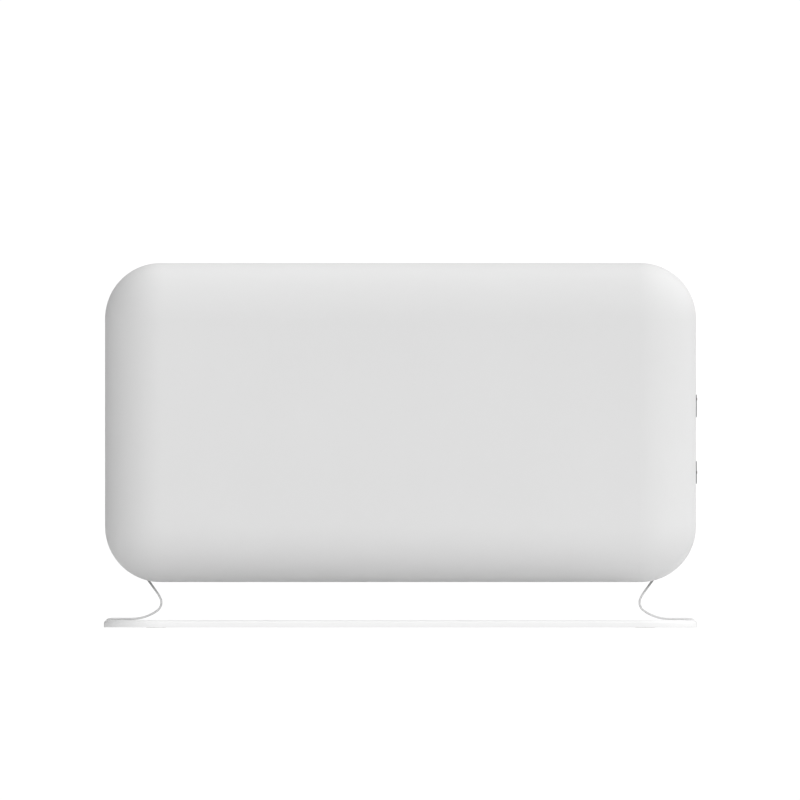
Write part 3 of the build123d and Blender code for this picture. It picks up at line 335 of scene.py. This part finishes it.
def spark_moulding(name, colour, grain, roughness):
    """ABS moulded in a spark-eroded tool: matt, with a fine sandy grain."""
    material, tree, shader, place = new_material(name, {"IOR": 1.53})
    # The plastic's white drifts a little over a hand's width
    cloud = add_node(
        tree, "ShaderNodeTexNoise", {"Scale": 1 / (90 * MM), "Detail": 1.0}, {"Vector": place}
    )
    finish_with(tree, shader, cloud.outputs["Fac"], (toned(colour, 0.97), colour))
    # The real grain is 0.1 to 0.2 mm; it is drawn coarser so that it shows
    sand = add_node(
        tree, "ShaderNodeTexNoise", {"Scale": 1 / grain, "Roughness": 0.6}, {"Vector": place}
    )
    finish_with(
        tree, shader, sand.outputs["Fac"],
        roughness=(roughness - 0.06, roughness + 0.08), relief=(0.06 * MM, 0.5),
    )
    return material


def satin_knob(name, colour, paint, paint_level):
    """ABS with a satin grey lacquer: a little metal flake under a soft shine, and a dark dot.

    The dot is paint stamped on the pip, which alone stands out past the paint level.
    """
    material, tree, shader, place = new_material(name, {"Metallic": 0.15, "IOR": 1.5})
    # Real flake is under 0.1 mm; it is drawn coarser so that it shows
    flake = add_node(
        tree, "ShaderNodeTexNoise", {"Scale": 1 / (0.4 * MM), "Roughness": 0.7}, {"Vector": place}
    )
    finish_with(
        tree, shader, flake.outputs["Fac"],
        (toned(colour, 0.9), toned(colour, 1.08)), roughness=(0.38, 0.5),
    )
    lacquer = shader.inputs["Base Color"].links[0].from_socket
    across = add_node(tree, "ShaderNodeSeparateXYZ", links={"Vector": place})
    stamped = add_node(
        tree,
        "ShaderNodeMath",
        {"operation": "GREATER_THAN", 1: paint_level},
        {0: across.outputs["X"]},
    )
    mixed = add_node(
        tree,
        "ShaderNodeMixRGB",
        {"Color2": paint},
        {"Fac": stamped.outputs[0], "Color1": lacquer},
    )
    tree.links.new(mixed.outputs[0], shader.inputs["Base Color"])
    return material


def tinted_lens(name, colour):
    """Polycarbonate lens, moulded clear red over an unlit neon lamp."""
    material, tree, shader, place = new_material(
        name, {"IOR": 1.585, "Transmission Weight": 0.35, "Roughness": 0.12}
    )
    # Darker patches of the lamp behind it, about 3 mm across
    depth = add_node(
        tree, "ShaderNodeTexNoise", {"Scale": 1 / (3 * MM), "Detail": 1.0}, {"Vector": place}
    )
    finish_with(tree, shader, depth.outputs["Fac"], (toned(colour, 0.7), colour))
    # Ribs moulded inside the lens, 1.2 mm apart: a wave is tau / 20 / scale long
    ribs = add_node(
        tree,
        "ShaderNodeTexWave",
        {"wave_type": "RINGS", "rings_direction": "X", "Scale": 260.0},
        {"Vector": place},
    )
    finish_with(tree, shader, ribs.outputs["Fac"], relief=(0.04 * MM, 0.3))
    return material


def milky_silicone(name, colour):
    """Silicone rubber cast in a polished tool: milky, soft to the light, with dust on it."""
    material, tree, shader, place = new_material(
        name,
        {
            "IOR": 1.41, "Subsurface Weight": 0.2, "Subsurface Scale": 2 * MM,
            "Subsurface Radius": EVEN_SCATTER,
        },
    )
    # Patches of dust are 4 mm across
    dust = add_node(
        tree,
        "ShaderNodeTexNoise",
        {"Scale": 1 / (4 * MM), "Detail": 4.0, "Roughness": 0.65},
        {"Vector": place},
    )
    finish_with(
        tree, shader, dust.outputs["Fac"], (toned(colour, 0.9), colour), roughness=(0.25, 0.5)
    )
    return material


def moulded_nylon(name, colour, roughness):
    """Nylon 66 moulded in a polished tool: waxy, with faint flow marks."""
    material, tree, shader, place = new_material(
        name,
        {
            "IOR": 1.53, "Subsurface Weight": 0.08, "Subsurface Scale": 2 * MM,
            "Subsurface Radius": EVEN_SCATTER,
        },
    )
    # Flow marks are about 8 mm across
    flow = add_node(
        tree, "ShaderNodeTexNoise", {"Scale": 1 / (8 * MM), "Detail": 3.0}, {"Vector": place}
    )
    finish_with(
        tree, shader, flow.outputs["Fac"], (toned(colour, 0.88), toned(colour, 1.05)),
        roughness=(roughness - 0.08, roughness + 0.08), relief=(0.1 * MM, 0.3),
    )
    return material


def galvanised_sheet(name, colour):
    """Hot-dip galvanised steel sheet: crystals of zinc, each with its own tone and shine."""
    material, tree, shader, place = new_material(name, {"Metallic": 1.0})
    # Spangle crystals are 6 to 10 mm across
    spangle = add_node(tree, "ShaderNodeTexVoronoi", {"Scale": 1 / (8 * MM)}, {"Vector": place})
    tone = add_node(tree, "ShaderNodeSeparateColor", links={"Color": spangle.outputs["Color"]})
    finish_with(
        tree, shader, tone.outputs[0], (toned(colour, 0.86), toned(colour, 1.06)), (0.0, 1.0)
    )
    finish_with(tree, shader, tone.outputs[1], roughness=(0.32, 0.55))
    # Grain of the rolled sheet under the zinc, 1.5 mm
    roll = add_node(tree, "ShaderNodeTexNoise", {"Scale": 1 / (1.5 * MM)}, {"Vector": place})
    finish_with(tree, shader, roll.outputs["Fac"], relief=(0.02 * MM, 0.4))
    return material


def zinc_plate(name, colour):
    """Bright zinc plate on cold-headed steel: bluish, with small stains in the passivation."""
    material, tree, shader, place = new_material(name, {"Metallic": 1.0})
    # Stains are about 3 mm across
    stain = add_node(
        tree,
        "ShaderNodeTexNoise",
        {"Scale": 1 / (3 * MM), "Detail": 4.0, "Roughness": 0.6},
        {"Vector": place},
    )
    finish_with(
        tree, shader, stain.outputs["Fac"],
        (toned(colour, 0.8), toned(colour, 1.08)), roughness=(0.22, 0.42),
    )
    return material


def drawn_metal(name, colour, along):
    """Metal drawn, extruded, turned or machined: the fine lines that this leaves on one axis."""
    # Lines are half a millimetre apart and fifty times as long
    stretch = [1 / 50 if axis == along else 1.0 for axis in "XYZ"]
    material, tree, shader, place = new_material(name, {"Metallic": 1.0}, stretch)
    lines = add_node(
        tree,
        "ShaderNodeTexNoise",
        {"Scale": 1 / (0.5 * MM), "Detail": 3.0, "Roughness": 0.6},
        {"Vector": place},
    )
    finish_with(
        tree, shader, lines.outputs["Fac"], (toned(colour, 0.82), toned(colour, 1.08)),
        roughness=(0.25, 0.45), relief=(0.02 * MM, 0.4),
    )
    return material


def heat_tinted_steel(name, straw, blue):
    """Stainless element sheath after use: straw and blue temper colours in bands."""
    material, tree, shader, place = new_material(
        name, {"Metallic": 1.0, "Roughness": 0.38}, stretch=(0.25, 1, 1)
    )
    # Bands are about 120 mm long down the rod, four times 30 mm
    bands = add_node(
        tree, "ShaderNodeTexNoise", {"Scale": 1 / (30 * MM), "Detail": 3.0}, {"Vector": place}
    )
    finish_with(tree, shader, bands.outputs["Fac"], (blue, straw), (0.4, 0.62))
    return material


def fired_ceramic(name, colour):
    """Steatite, pressed and fired without glaze: chalky with a few iron specks."""
    material, tree, shader, place = new_material(name, {"IOR": 1.6, "Roughness": 0.75})
    # Specks are about 1.2 mm apart
    specks = add_node(
        tree,
        "ShaderNodeTexNoise",
        {"Scale": 1 / (1.2 * MM), "Detail": 5.0, "Roughness": 0.7},
        {"Vector": place},
    )
    finish_with(
        tree, shader, specks.outputs["Fac"], (toned(colour, 0.8), colour), (0.3, 0.5),
        relief=(0.05 * MM, 0.5),
    )
    return material


def pressed_phenolic(name, colour):
    """Black phenolic pressed from powder: hard and slightly glossy, with grey mottling."""
    material, tree, shader, place = new_material(name, {"IOR": 1.6})
    # Mottling is about 2 mm across
    mottle = add_node(
        tree,
        "ShaderNodeTexNoise",
        {"Scale": 1 / (2 * MM), "Detail": 4.0, "Roughness": 0.65},
        {"Vector": place},
    )
    finish_with(
        tree, shader, mottle.outputs["Fac"], (colour, toned(colour, 1.8)), (0.4, 0.8),
        roughness=(0.28, 0.45),
    )
    return material


def printed_ink(name, colour):
    """Pad-printed two-part ink: flat grey, a little uneven in its film."""
    material, tree, shader, place = new_material(name, {"IOR": 1.48})
    # The film is thicker and thinner over 0.8 mm
    film = add_node(tree, "ShaderNodeTexNoise", {"Scale": 1 / (0.8 * MM)}, {"Vector": place})
    finish_with(
        tree, shader, film.outputs["Fac"], (colour, toned(colour, 1.25)), roughness=(0.5, 0.7)
    )
    return material


# What a user would change


class HeaterFinishes(bpy.types.PropertyGroup):
    """Colours of the heater's finishes"""

    body_coat: bpy.props.FloatVectorProperty(
        name="Body coat", description="Powder coat of the front shell and the legs",
        size=4, subtype="COLOR", min=0, max=1, default=linear("E1E1E1"),
    )
    base_coat: bpy.props.FloatVectorProperty(
        name="Base coat", description="Powder coat of the base plate",
        size=4, subtype="COLOR", min=0, max=1, default=linear("F6F6F6"),
    )
    moulding: bpy.props.FloatVectorProperty(
        name="Mouldings", description="Plastic of the rear shell, grilles, grip and dish",
        size=4, subtype="COLOR", min=0, max=1, default=linear("E2E2E2"),
    )
    knob: bpy.props.FloatVectorProperty(
        name="Knobs", description="Grey lacquer of both knobs",
        size=4, subtype="COLOR", min=0, max=1, default=linear("5C5D5F"),
    )
    knob_dot: bpy.props.FloatVectorProperty(
        name="Knob dots", description="Paint on the pip of each knob",
        size=4, subtype="COLOR", min=0, max=1, default=linear("2A2B2D"),
    )
    lens: bpy.props.FloatVectorProperty(
        name="Lamp lens", description="Tint of the pilot lamp's lens",
        size=4, subtype="COLOR", min=0, max=1, default=linear("A8321C"),
    )
    ink: bpy.props.FloatVectorProperty(
        name="Scale ink", description="Ink of the scales round the knobs",
        size=4, subtype="COLOR", min=0, max=1, default=linear("55585A"),
    )
    # Painted shade on the legs below the body: how far down it reaches, and its thickest share of
    # grey
    painted_shade_reach: bpy.props.FloatProperty(
        name="Dust reach", description="How far below the body the legs are dusty",
        unit="LENGTH", min=0, default=16 * MM,
    )
    painted_shade_share: bpy.props.FloatProperty(
        name="Dust", description="Thickest cover of dust on the legs",
        subtype="FACTOR", min=0, max=1, default=0.6,
    )


class HeaterScales(bpy.types.PropertyGroup):
    """Sizes of the printed scales"""

    numeral_height: bpy.props.FloatProperty(
        name="Numeral height", description="Height of the power knob's numerals",
        unit="LENGTH", min=0.001, default=4.0 * MM,
    )
    numeral_gap: bpy.props.FloatProperty(
        name="Numeral gap", description="From the dish's edge to the middle of a numeral",
        unit="LENGTH", min=0, default=3.0 * MM,
    )
    tick_gap: bpy.props.FloatProperty(
        name="Tick gap", description="From a knob's rim to its scale",
        unit="LENGTH", min=0, default=0.5 * MM,
    )
    tick_length: bpy.props.FloatProperty(
        name="Tick length", description="Length of a power tick, and the scale's widest end",
        unit="LENGTH", min=0, default=1.2 * MM,
    )
    tick_width: bpy.props.FloatProperty(
        name="Tick width", description="Width of a power tick, twice the scale's thin end",
        unit="LENGTH", min=0, default=0.6 * MM,
    )
    ink_film: bpy.props.FloatProperty(
        name="Ink film", description="Thickness of the printed ink",
        unit="LENGTH", min=0, default=0.04 * MM,
    )


class HeaterStudio(bpy.types.PropertyGroup):
    """Floor, lights and camera"""

    floor_reach: bpy.props.FloatProperty(
        name="Floor", description="Half the floor's side",
        unit="LENGTH", default=6.0,
    )
    floor_colour: bpy.props.FloatVectorProperty(
        name="Floor colour", description="Colour of the studio floor",
        size=4, subtype="COLOR", min=0, max=1, default=linear("F1F1F1"),
    )
    floor_glow: bpy.props.FloatProperty(
        name="Floor glow", description="Light that the floor gives to what is close over it",
        min=0, default=0.85,
    )
    surround: bpy.props.FloatProperty(
        name="Surround", description="Strength of the even light all round",
        min=0, default=0.15,
    )
    front: bpy.props.FloatProperty(
        name="Front", description="Strength of the light from the front",
        min=0, default=1.39,
    )
    side: bpy.props.FloatProperty(
        name="Side", description="Strength of the light from front right",
        min=0, default=0.72,
    )
    low_rear: bpy.props.FloatProperty(
        name="Low rear", description="Strength of the low light from rear right",
        min=0, default=1.03,
    )
    high_rear: bpy.props.FloatProperty(
        name="High rear", description="Strength of the high light from rear right",
        min=0, default=0.93,
    )
    rear: bpy.props.FloatProperty(
        name="Rear", description="Strength of the high light from behind",
        min=0, default=0.55,
    )
    view_width: bpy.props.FloatProperty(
        name="View width", description="Width of what the camera sees",
        unit="LENGTH", default=0.8899,
    )
    view_height: bpy.props.FloatProperty(
        name="View height", description="Height of the camera over the floor",
        unit="LENGTH", default=0.2536,
    )
    view_side: bpy.props.FloatProperty(
        name="View side", description="Camera's place across the heater",
        unit="LENGTH", default=-0.00056,
    )
    view_distance: bpy.props.FloatProperty(
        name="View distance", description="Camera's distance in front of the heater",
        unit="LENGTH", default=4.0,
    )


# Pieces


class HEATER_OT_coat_steel(bpy.types.Operator):
    """Powder coat the front shell, the legs and the base plate"""

    bl_idname = "heater.coat_steel"
    bl_label = "Coat steel"

    def execute(self, context):
        finishes = context.scene.heater_finishes
        colour = tuple(finishes.body_coat)
        body, legs = (
            powder_coat(name, colour, roughness=0.62, specular=0.25)
            for name in ("polyester_coat_matt_body", "polyester_coat_matt_legs")
        )
        base = powder_coat(
            "polyester_coat_satin_base", tuple(finishes.base_coat), roughness=0.4, specular=0.5
        )
        # Painted shade: grey on the legs' coat, growing up to the body's underside
        painted_shade_below(legs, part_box("front_shell")[0].z, finishes.painted_shade_reach, finishes.painted_shade_share)
        dress(body, "front_shell")
        dress(legs, "leg_left", "leg_right")
        dress(base, "base_plate")
        return {"FINISHED"}


class HEATER_OT_mould_rear(bpy.types.Operator):
    """Finish the rear shell, both grilles, the carrying grip and the control dish"""

    bl_idname = "heater.mould_rear"
    bl_label = "Mould rear"

    def execute(self, context):
        colour = tuple(context.scene.heater_finishes.moulding)
        shell = spark_moulding("abs_spark_eroded_shell", colour, grain=0.7 * MM, roughness=0.5)
        grille = spark_moulding(
            "abs_spark_eroded_grilles", toned(colour, 0.96), grain=0.6 * MM, roughness=0.45
        )
        dress(shell, "rear_shell", "grip_cup", "control_bezel")
        dress(grille, "outlet_grille", "inlet_grille")
        return {"FINISHED"}


class HEATER_OT_finish_knobs(bpy.types.Operator):
    """Lacquer both knobs and finish their turned shafts"""

    bl_idname = "heater.finish_knobs"
    bl_label = "Finish knobs"

    def execute(self, context):
        finishes = context.scene.heater_finishes
        lacquer = satin_knob(
            "abs_grey_lacquer", tuple(finishes.knob), tuple(finishes.knob_dot),
            paint_level=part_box("power_knob")[1].x - PIP_PAINT_DEPTH,
        )
        steel = drawn_metal("steel_turned_shaft", linear("B9BBBD"), along="X")
        dress(lacquer, "power_knob", "thermostat_knob")
        dress(steel, "power_shaft", "thermostat_shaft")
        return {"FINISHED"}


class HEATER_OT_print_scales(bpy.types.Operator):
    """Print the power numerals and ticks, and the thermostat's widening band"""

    bl_idname = "heater.print_scales"
    bl_label = "Print scales"

    def execute(self, context):
        sizes = context.scene.heater_scales
        ink = printed_ink("two_part_pad_ink", tuple(context.scene.heater_finishes.ink))
        knob_low, knob_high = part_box("power_knob")
        dish_low, dish_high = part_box("control_bezel")
        dish_floor = knob_low.x - KNOB_GAP
        inner = (knob_high.z - knob_low.z) / 2 + sizes.tick_gap
        outer = inner + sizes.tick_length
        self.print_band(ink, sizes, dish_floor, inner, outer)
        self.print_ticks(ink, sizes, dish_floor, inner, outer)
        edge = (dish_high.y - dish_low.y) / 2 + sizes.numeral_gap
        self.print_numerals(ink, sizes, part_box("rear_shell")[1].x, edge)
        return {"FINISHED"}

    def print_band(self, ink, sizes, floor_x, inner, outer):
        """Band round the thermostat knob, from thin at its low stop to wide at its high stop."""
        centre = centre_of("thermostat_knob").yz
        low_stop, high_stop = SCALE_STOPS
        thin = sizes.tick_width * THIN_END_SHARE
        film_x = floor_x + sizes.ink_film
        rings = []
        for i in range(SCALE_STEPS + 1):
            share = i / SCALE_STEPS
            out = clock_direction(low_stop + (high_stop - low_stop) * share)
            width = thin + (outer - inner - thin) * share
            inside, outside = centre + out * inner, centre + out * (inner + width)
            rings.append([
                (floor_x, *inside), (floor_x, *outside), (film_x, *outside), (film_x, *inside)
            ])
        made = bmesh.new()
        add_solid(made, rings)
        link_piece("thermostat_scale", made, ink, "heater")

    def print_ticks(self, ink, sizes, floor_x, inner, outer):
        """Four ticks round the power knob, one for each place of the switch."""
        centre = centre_of("power_knob").yz
        made = bmesh.new()
        for turn in POWER_PLACES:
            out = clock_direction(turn)
            across = Vector((out.y, -out.x)) * sizes.tick_width / 2
            corners = [
                centre + out * inner - across,
                centre + out * inner + across,
                centre + out * outer + across,
                centre + out * outer - across,
            ]
            add_solid(made, [
                [(x, *corner) for corner in corners] for x in (floor_x, floor_x + sizes.ink_film)
            ])
        link_piece("power_ticks", made, ink, "heater")

    def print_numerals(self, ink, sizes, wall_x, edge):
        """Numerals 0 to 3 along the dish's edge, each in line with its tick."""
        centre = centre_of("power_knob").yz
        made = bmesh.new()
        for numeral, turn in zip("0123", POWER_PLACES):
            out = clock_direction(turn)
            # The dish's edge is round to a quarter turn and runs straight down from there
            reach = edge if turn <= 90 else edge / abs(out.x)
            curve = bpy.data.curves.new("numeral", "FONT")
            curve.body = numeral
            curve.size = sizes.numeral_height * FONT_SIZE_SHARE
            curve.align_x = "CENTER"
            curve.align_y = "CENTER"
            curve.extrude = sizes.ink_film / 2
            curve.resolution_u = FONT_STEPS
            holder = new_object("numeral", curve)
            bpy.context.view_layer.update()
            flat = bpy.data.meshes.new_from_object(holder)
            bpy.data.objects.remove(holder)
            bpy.data.curves.remove(curve)
            place = Matrix.Translation((wall_x + sizes.ink_film / 2, *(centre + out * reach)))
            flat.transform(place @ FACING_RIGHT)
            made.from_mesh(flat)
            bpy.data.meshes.remove(flat)
        bmesh.ops.remove_doubles(made, verts=made.verts, dist=SAME_POINT)
        link_piece("power_numerals", made, ink, "heater")


class HEATER_OT_fit_lamp(bpy.types.Operator):
    """Tint the pilot lamp's lens"""

    bl_idname = "heater.fit_lamp"
    bl_label = "Fit lamp"

    def execute(self, context):
        tint = tuple(context.scene.heater_finishes.lens)
        dress(tinted_lens("polycarbonate_red_lens", tint), "pilot_lamp")
        return {"FINISHED"}


def cross_head_screw(head_radius, head_height, shank_radius, shank_length):
    """Pan head with a plain shank, pointing to -Y with its head at +Y."""
    profile = [(radius * head_radius, height * head_height) for radius, height in PAN_HEAD]
    profile += [(shank_radius, 0), (shank_radius, -shank_length), (0, -shank_length)]
    made = bmesh.new()
    points = [made.verts.new((radius, 0, height)) for radius, height in profile]
    edges = [made.edges.new(pair) for pair in zip(points, points[1:])]
    bmesh.ops.spin(
        made, geom=points + edges, cent=(0, 0, 0), axis=(0, 0, 1),
        angle=math.tau, steps=SCREW_STEPS, use_merge=True, use_duplicate=False,
    )
    bmesh.ops.remove_doubles(made, verts=made.verts, dist=SAME_POINT)
    bmesh.ops.recalc_face_normals(made, faces=made.faces)
    mesh = mesh_from(made, "screw")
    mesh.transform(Matrix.Rotation(-math.pi / 2, 4, "X"))
    return mesh


def cross_cutter(reach, width, depth, top):
    """Tapered cross that cuts the recess: two crossed wedges."""
    outline = []
    half = width / 2
    for arm in range(4):
        angle = arm * math.pi / 2
        out = Vector((math.cos(angle), math.sin(angle)))
        across = Vector((-out.y, out.x))
        outline.append(out * half - across * half)
        outline.append(out * reach - across * half)
        outline.append(out * reach + across * half)
    made = bmesh.new()
    add_solid(made, [
        [(p.x * share, height, p.y * share) for p in outline]
        for height, share in ((top, MOUTH_TAPER), (top - depth, BOTTOM_TAPER))
    ])
    bmesh.ops.recalc_face_normals(made, faces=made.faces)
    return mesh_from(made, "cutter")


class HEATER_OT_fit_screws(bpy.types.Operator):
    """Give the rear screws pan heads with cross recesses, and plate the other fasteners"""

    bl_idname = "heater.fit_screws"
    bl_label = "Fit screws"

    def execute(self, context):
        zinc = zinc_plate("bright_zinc_plate", linear("C4C8CC"))
        dress(
            zinc, "base_nuts", "leg_bolts", "leg_nuts", "front_screws", "frame_screws",
            "baffle_rivets", "bushing_nuts", "tip_switch_pin",
        )
        made = bmesh.new()
        for low, high in solids_of("rear_screws"):
            size = high - low
            head_radius, length = size.x / 2, size.y
            shank_radius = head_radius * SHANK_SHARE
            head_height = head_radius * HEAD_SHARE
            screw = self.cut_screw(head_radius, head_height, shank_radius, length - head_height)
            centre = (low + high) / 2
            turn = Matrix.Rotation(centre.z * STOP_TURN, 4, "Y")
            seat = Matrix.Translation((centre.x, high.y - head_height, centre.z))
            screw.transform(seat @ turn)
            made.from_mesh(screw)
            bpy.data.meshes.remove(screw)
        piece = link_piece("cross_head_screws", made, zinc, "heater")
        smooth_by_angle(piece.data)
        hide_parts("rear_screws")
        return {"FINISHED"}

    def cut_screw(self, head_radius, head_height, shank_radius, shank_length):
        """Screw mesh with its recess cut."""
        screw = new_object(
            "screw", cross_head_screw(head_radius, head_height, shank_radius, shank_length)
        )
        cutter = new_object(
            "cutter",
            cross_cutter(
                reach=head_radius * RECESS_REACH, width=head_radius * RECESS_WIDTH,
                depth=head_height * RECESS_DEPTH, top=head_height * CUTTER_TOP,
            ),
        )
        cut = screw.modifiers.new("recess", "BOOLEAN")
        cut.operation = "DIFFERENCE"
        cut.solver = "EXACT"
        cut.object = cutter
        bpy.context.view_layer.update()
        whole = bpy.data.meshes.new_from_object(
            screw.evaluated_get(bpy.context.evaluated_depsgraph_get())
        )
        for made in (screw, cutter):
            bpy.data.objects.remove(made)
        return whole


class HEATER_OT_fit_chassis(bpy.types.Operator):
    """Finish the frames, baffles, clips and bracket in galvanised sheet"""

    bl_idname = "heater.fit_chassis"
    bl_label = "Fit chassis"

    def execute(self, context):
        sheet = galvanised_sheet("hot_dip_galvanised_sheet", linear("B4B8BA"))
        dress(
            sheet, "side_frame_left", "side_frame_right", "front_baffle", "rear_baffle",
            "shell_clips", "control_bracket", "fuse_clip",
        )
        return {"FINISHED"}


class HEATER_OT_fit_element(bpy.types.Operator):
    """Finish the element's rod, fins, bushes and terminals"""

    bl_idname = "heater.fit_element"
    bl_label = "Fit element"

    def execute(self, context):
        sheath = heat_tinted_steel("stainless_temper_tinted", linear("9C8F78"), linear("5F6470"))
        fins = drawn_metal("aluminium_extruded", linear("C9CBCD"), along="X")
        brass = drawn_metal("brass_stamped", linear("CDAE6A"), along="Z")
        dress(sheath, "heater_rod")
        dress(fins, "heater_fins")
        dress(fired_ceramic("steatite_unglazed", linear("E9E4D8")), "element_bushes")
        dress(brass, "element_terminals")
        return {"FINISHED"}


class HEATER_OT_fit_switchgear(bpy.types.Operator):
    """Finish the switch, thermostat, safety devices and terminal block"""

    bl_idname = "heater.fit_switchgear"
    bl_label = "Fit switchgear"

    def execute(self, context):
        phenolic = pressed_phenolic("phenolic_pressed_black", linear("26272A"))
        natural = moulded_nylon("nylon_natural", linear("E4E0D2"), roughness=0.45)
        can = drawn_metal("brass_plated_can", linear("C9B27C"), along="X")
        weight = drawn_metal("steel_machined_weight", linear("8C9094"), along="Y")
        dress(phenolic, "power_switch", "thermostat", "thermal_cutout", "tip_reed_switch")
        dress(natural, "tip_switch_housing", "tip_switch_cover", "terminal_block")
        dress(can, "thermal_fuse")
        dress(weight, "tip_switch_pendulum")
        return {"FINISHED"}


class HEATER_OT_fit_small_parts(bpy.types.Operator):
    """Finish the rubber pads, the cable gland and its nut"""

    bl_idname = "heater.fit_small_parts"
    bl_label = "Fit small parts"

    def execute(self, context):
        dress(milky_silicone("silicone_cast_milky", linear("F4F4F2")), "rubber_pads")
        black = moulded_nylon("nylon_black", linear("2A2B2D"), roughness=0.5)
        dress(black, "cable_gland", "gland_nut")
        return {"FINISHED"}


class HEATER_OT_set_studio(bpy.types.Operator):
    """Lay the floor, place the lights and aim the camera"""

    bl_idname = "heater.set_studio"
    bl_label = "Set studio"

    def execute(self, context):
        studio = context.scene.heater_studio
        self.lay_floor(studio)
        self.light_surround(context.scene, studio)
        # Each light stands so many degrees round from the front, to the right, and up
        for name, strength, round_degrees, up_degrees in (
            ("front_light", studio.front, 0, 35),
            ("side_light", studio.side, 60, 35),
            ("low_rear_light", studio.low_rear, 120, 5),
            ("high_rear_light", studio.high_rear, 120, 65),
            ("rear_light", studio.rear, 180, 65),
        ):
            lamp = bpy.data.lights.new(name, "SUN")
            lamp.energy = strength
            lamp.angle = math.radians(LIGHT_SPREAD)
            turn, tilt = math.radians(round_degrees), math.radians(up_degrees)
            new_object(name, lamp).rotation_euler = (math.pi / 2 - tilt, 0, turn)
        self.aim_camera(context.scene, studio)
        view = context.scene.view_settings
        view.view_transform = "Standard"
        view.look = "None"
        context.scene.cycles.use_denoising = True
        return {"FINISHED"}

    def lay_floor(self, studio):
        """Matt floor, clear from below, that gives back light to what stands close over it."""
        material, tree, shader, place = new_material("studio_floor_matt_paint", {"Roughness": 0.9})
        # Roller texture of floor paint, about 3 mm
        roller = add_node(tree, "ShaderNodeTexNoise", {"Scale": 1 / (3 * MM)}, {"Vector": place})
        colour = tuple(studio.floor_colour)
        finish_with(tree, shader, roller.outputs["Fac"], (toned(colour, 0.995), colour))
        path = add_node(tree, "ShaderNodeLightPath")
        close = add_node(
            tree,
            "ShaderNodeMath",
            {"operation": "LESS_THAN", 1: FLOOR_GLOW_REACH},
            {0: path.outputs["Ray Length"]},
        )
        glow = add_node(tree, "ShaderNodeEmission", {"Strength": studio.floor_glow})
        lit = add_node(
            tree,
            "ShaderNodeMixShader",
            links={0: close.outputs[0], 1: shader.outputs[0], 2: glow.outputs[0]},
        )
        side = add_node(tree, "ShaderNodeNewGeometry")
        clear = add_node(tree, "ShaderNodeBsdfTransparent")
        mixed = add_node(
            tree,
            "ShaderNodeMixShader",
            links={0: side.outputs["Backfacing"], 1: lit.outputs[0], 2: clear.outputs[0]},
        )
        output = next(n for n in tree.nodes if n.type == "OUTPUT_MATERIAL")
        tree.links.new(mixed.outputs[0], output.inputs["Surface"])
        material.cycles.emission_sampling = "NONE"
        made = bmesh.new()
        reach = studio.floor_reach
        corners = [(-reach, -reach, 0), (reach, -reach, 0), (reach, reach, 0), (-reach, reach, 0)]
        made.faces.new([made.verts.new(c) for c in corners])
        mesh = mesh_from(made, "studio_floor")
        mesh.materials.append(material)
        new_object("studio_floor", mesh)

    def light_surround(self, scene, studio):
        """Even light all round, seen as plain white behind the heater."""
        world = bpy.data.worlds.new("studio_surround")
        world.use_nodes = True
        tree = world.node_tree
        tree.nodes.clear()
        path = add_node(tree, "ShaderNodeLightPath")
        glow = add_node(tree, "ShaderNodeBackground", {"Strength": studio.surround})
        seen = add_node(tree, "ShaderNodeBackground", {"Strength": BACKDROP_GLOW})
        for background in (glow, seen):
            background.inputs["Color"].default_value = (1, 1, 1, 1)
        mixed = add_node(
            tree,
            "ShaderNodeMixShader",
            links={0: path.outputs["Is Camera Ray"], 1: glow.outputs[0], 2: seen.outputs[0]},
        )
        add_node(tree, "ShaderNodeOutputWorld", links={"Surface": mixed.outputs[0]})
        scene.world = world

    def aim_camera(self, scene, studio):
        """Camera straight in front, with parallel sight lines."""
        camera = bpy.data.cameras.new("front_camera")
        camera.type = "ORTHO"
        camera.ortho_scale = studio.view_width
        camera.clip_end = CAMERA_REACH
        holder = new_object("front_camera", camera)
        holder.location = (studio.view_side, -studio.view_distance, studio.view_height)
        holder.rotation_euler = (math.pi / 2, 0, 0)
        scene.camera = holder


STEPS = (
    HEATER_OT_coat_steel,
    HEATER_OT_mould_rear,
    HEATER_OT_finish_knobs,
    HEATER_OT_print_scales,
    HEATER_OT_fit_lamp,
    HEATER_OT_fit_screws,
    HEATER_OT_fit_chassis,
    HEATER_OT_fit_element,
    HEATER_OT_fit_switchgear,
    HEATER_OT_fit_small_parts,
    HEATER_OT_set_studio,
)


class HEATER_PT_sidebar(bpy.types.Panel):
    """Heater finishes, pieces and studio"""

    bl_idname = "HEATER_PT_sidebar"
    bl_label = "Convector Heater"
    bl_space_type = "VIEW_3D"
    bl_region_type = "UI"
    bl_category = "Heater"

    def draw(self, context):
        layout = self.layout
        for group in (
            context.scene.heater_finishes,
            context.scene.heater_scales,
            context.scene.heater_studio,
        ):
            box = layout.box()
            for name in group.__annotations__:
                box.prop(group, name)
        for step in STEPS:
            layout.operator(step.bl_idname)


GROUPS = (HeaterFinishes, HeaterScales, HeaterStudio)
CLASSES = (*GROUPS, *STEPS, HEATER_PT_sidebar)


def register():
    """Register the classes and hang the settings on the scene."""
    for each in CLASSES:
        bpy.utils.register_class(each)
    bpy.types.Scene.heater_finishes = bpy.props.PointerProperty(type=HeaterFinishes)
    bpy.types.Scene.heater_scales = bpy.props.PointerProperty(type=HeaterScales)
    bpy.types.Scene.heater_studio = bpy.props.PointerProperty(type=HeaterStudio)


def unregister():
    """Take the settings and the classes away again."""
    del bpy.types.Scene.heater_studio
    del bpy.types.Scene.heater_scales
    del bpy.types.Scene.heater_finishes
    for each in reversed(CLASSES):
        bpy.utils.unregister_class(each)


def main():
    """Run every step in order."""
    register()
    for step in STEPS:
        group, name = step.bl_idname.split(".")
        getattr(getattr(bpy.ops, group), name)()


if __name__ == "__main__":
    main()
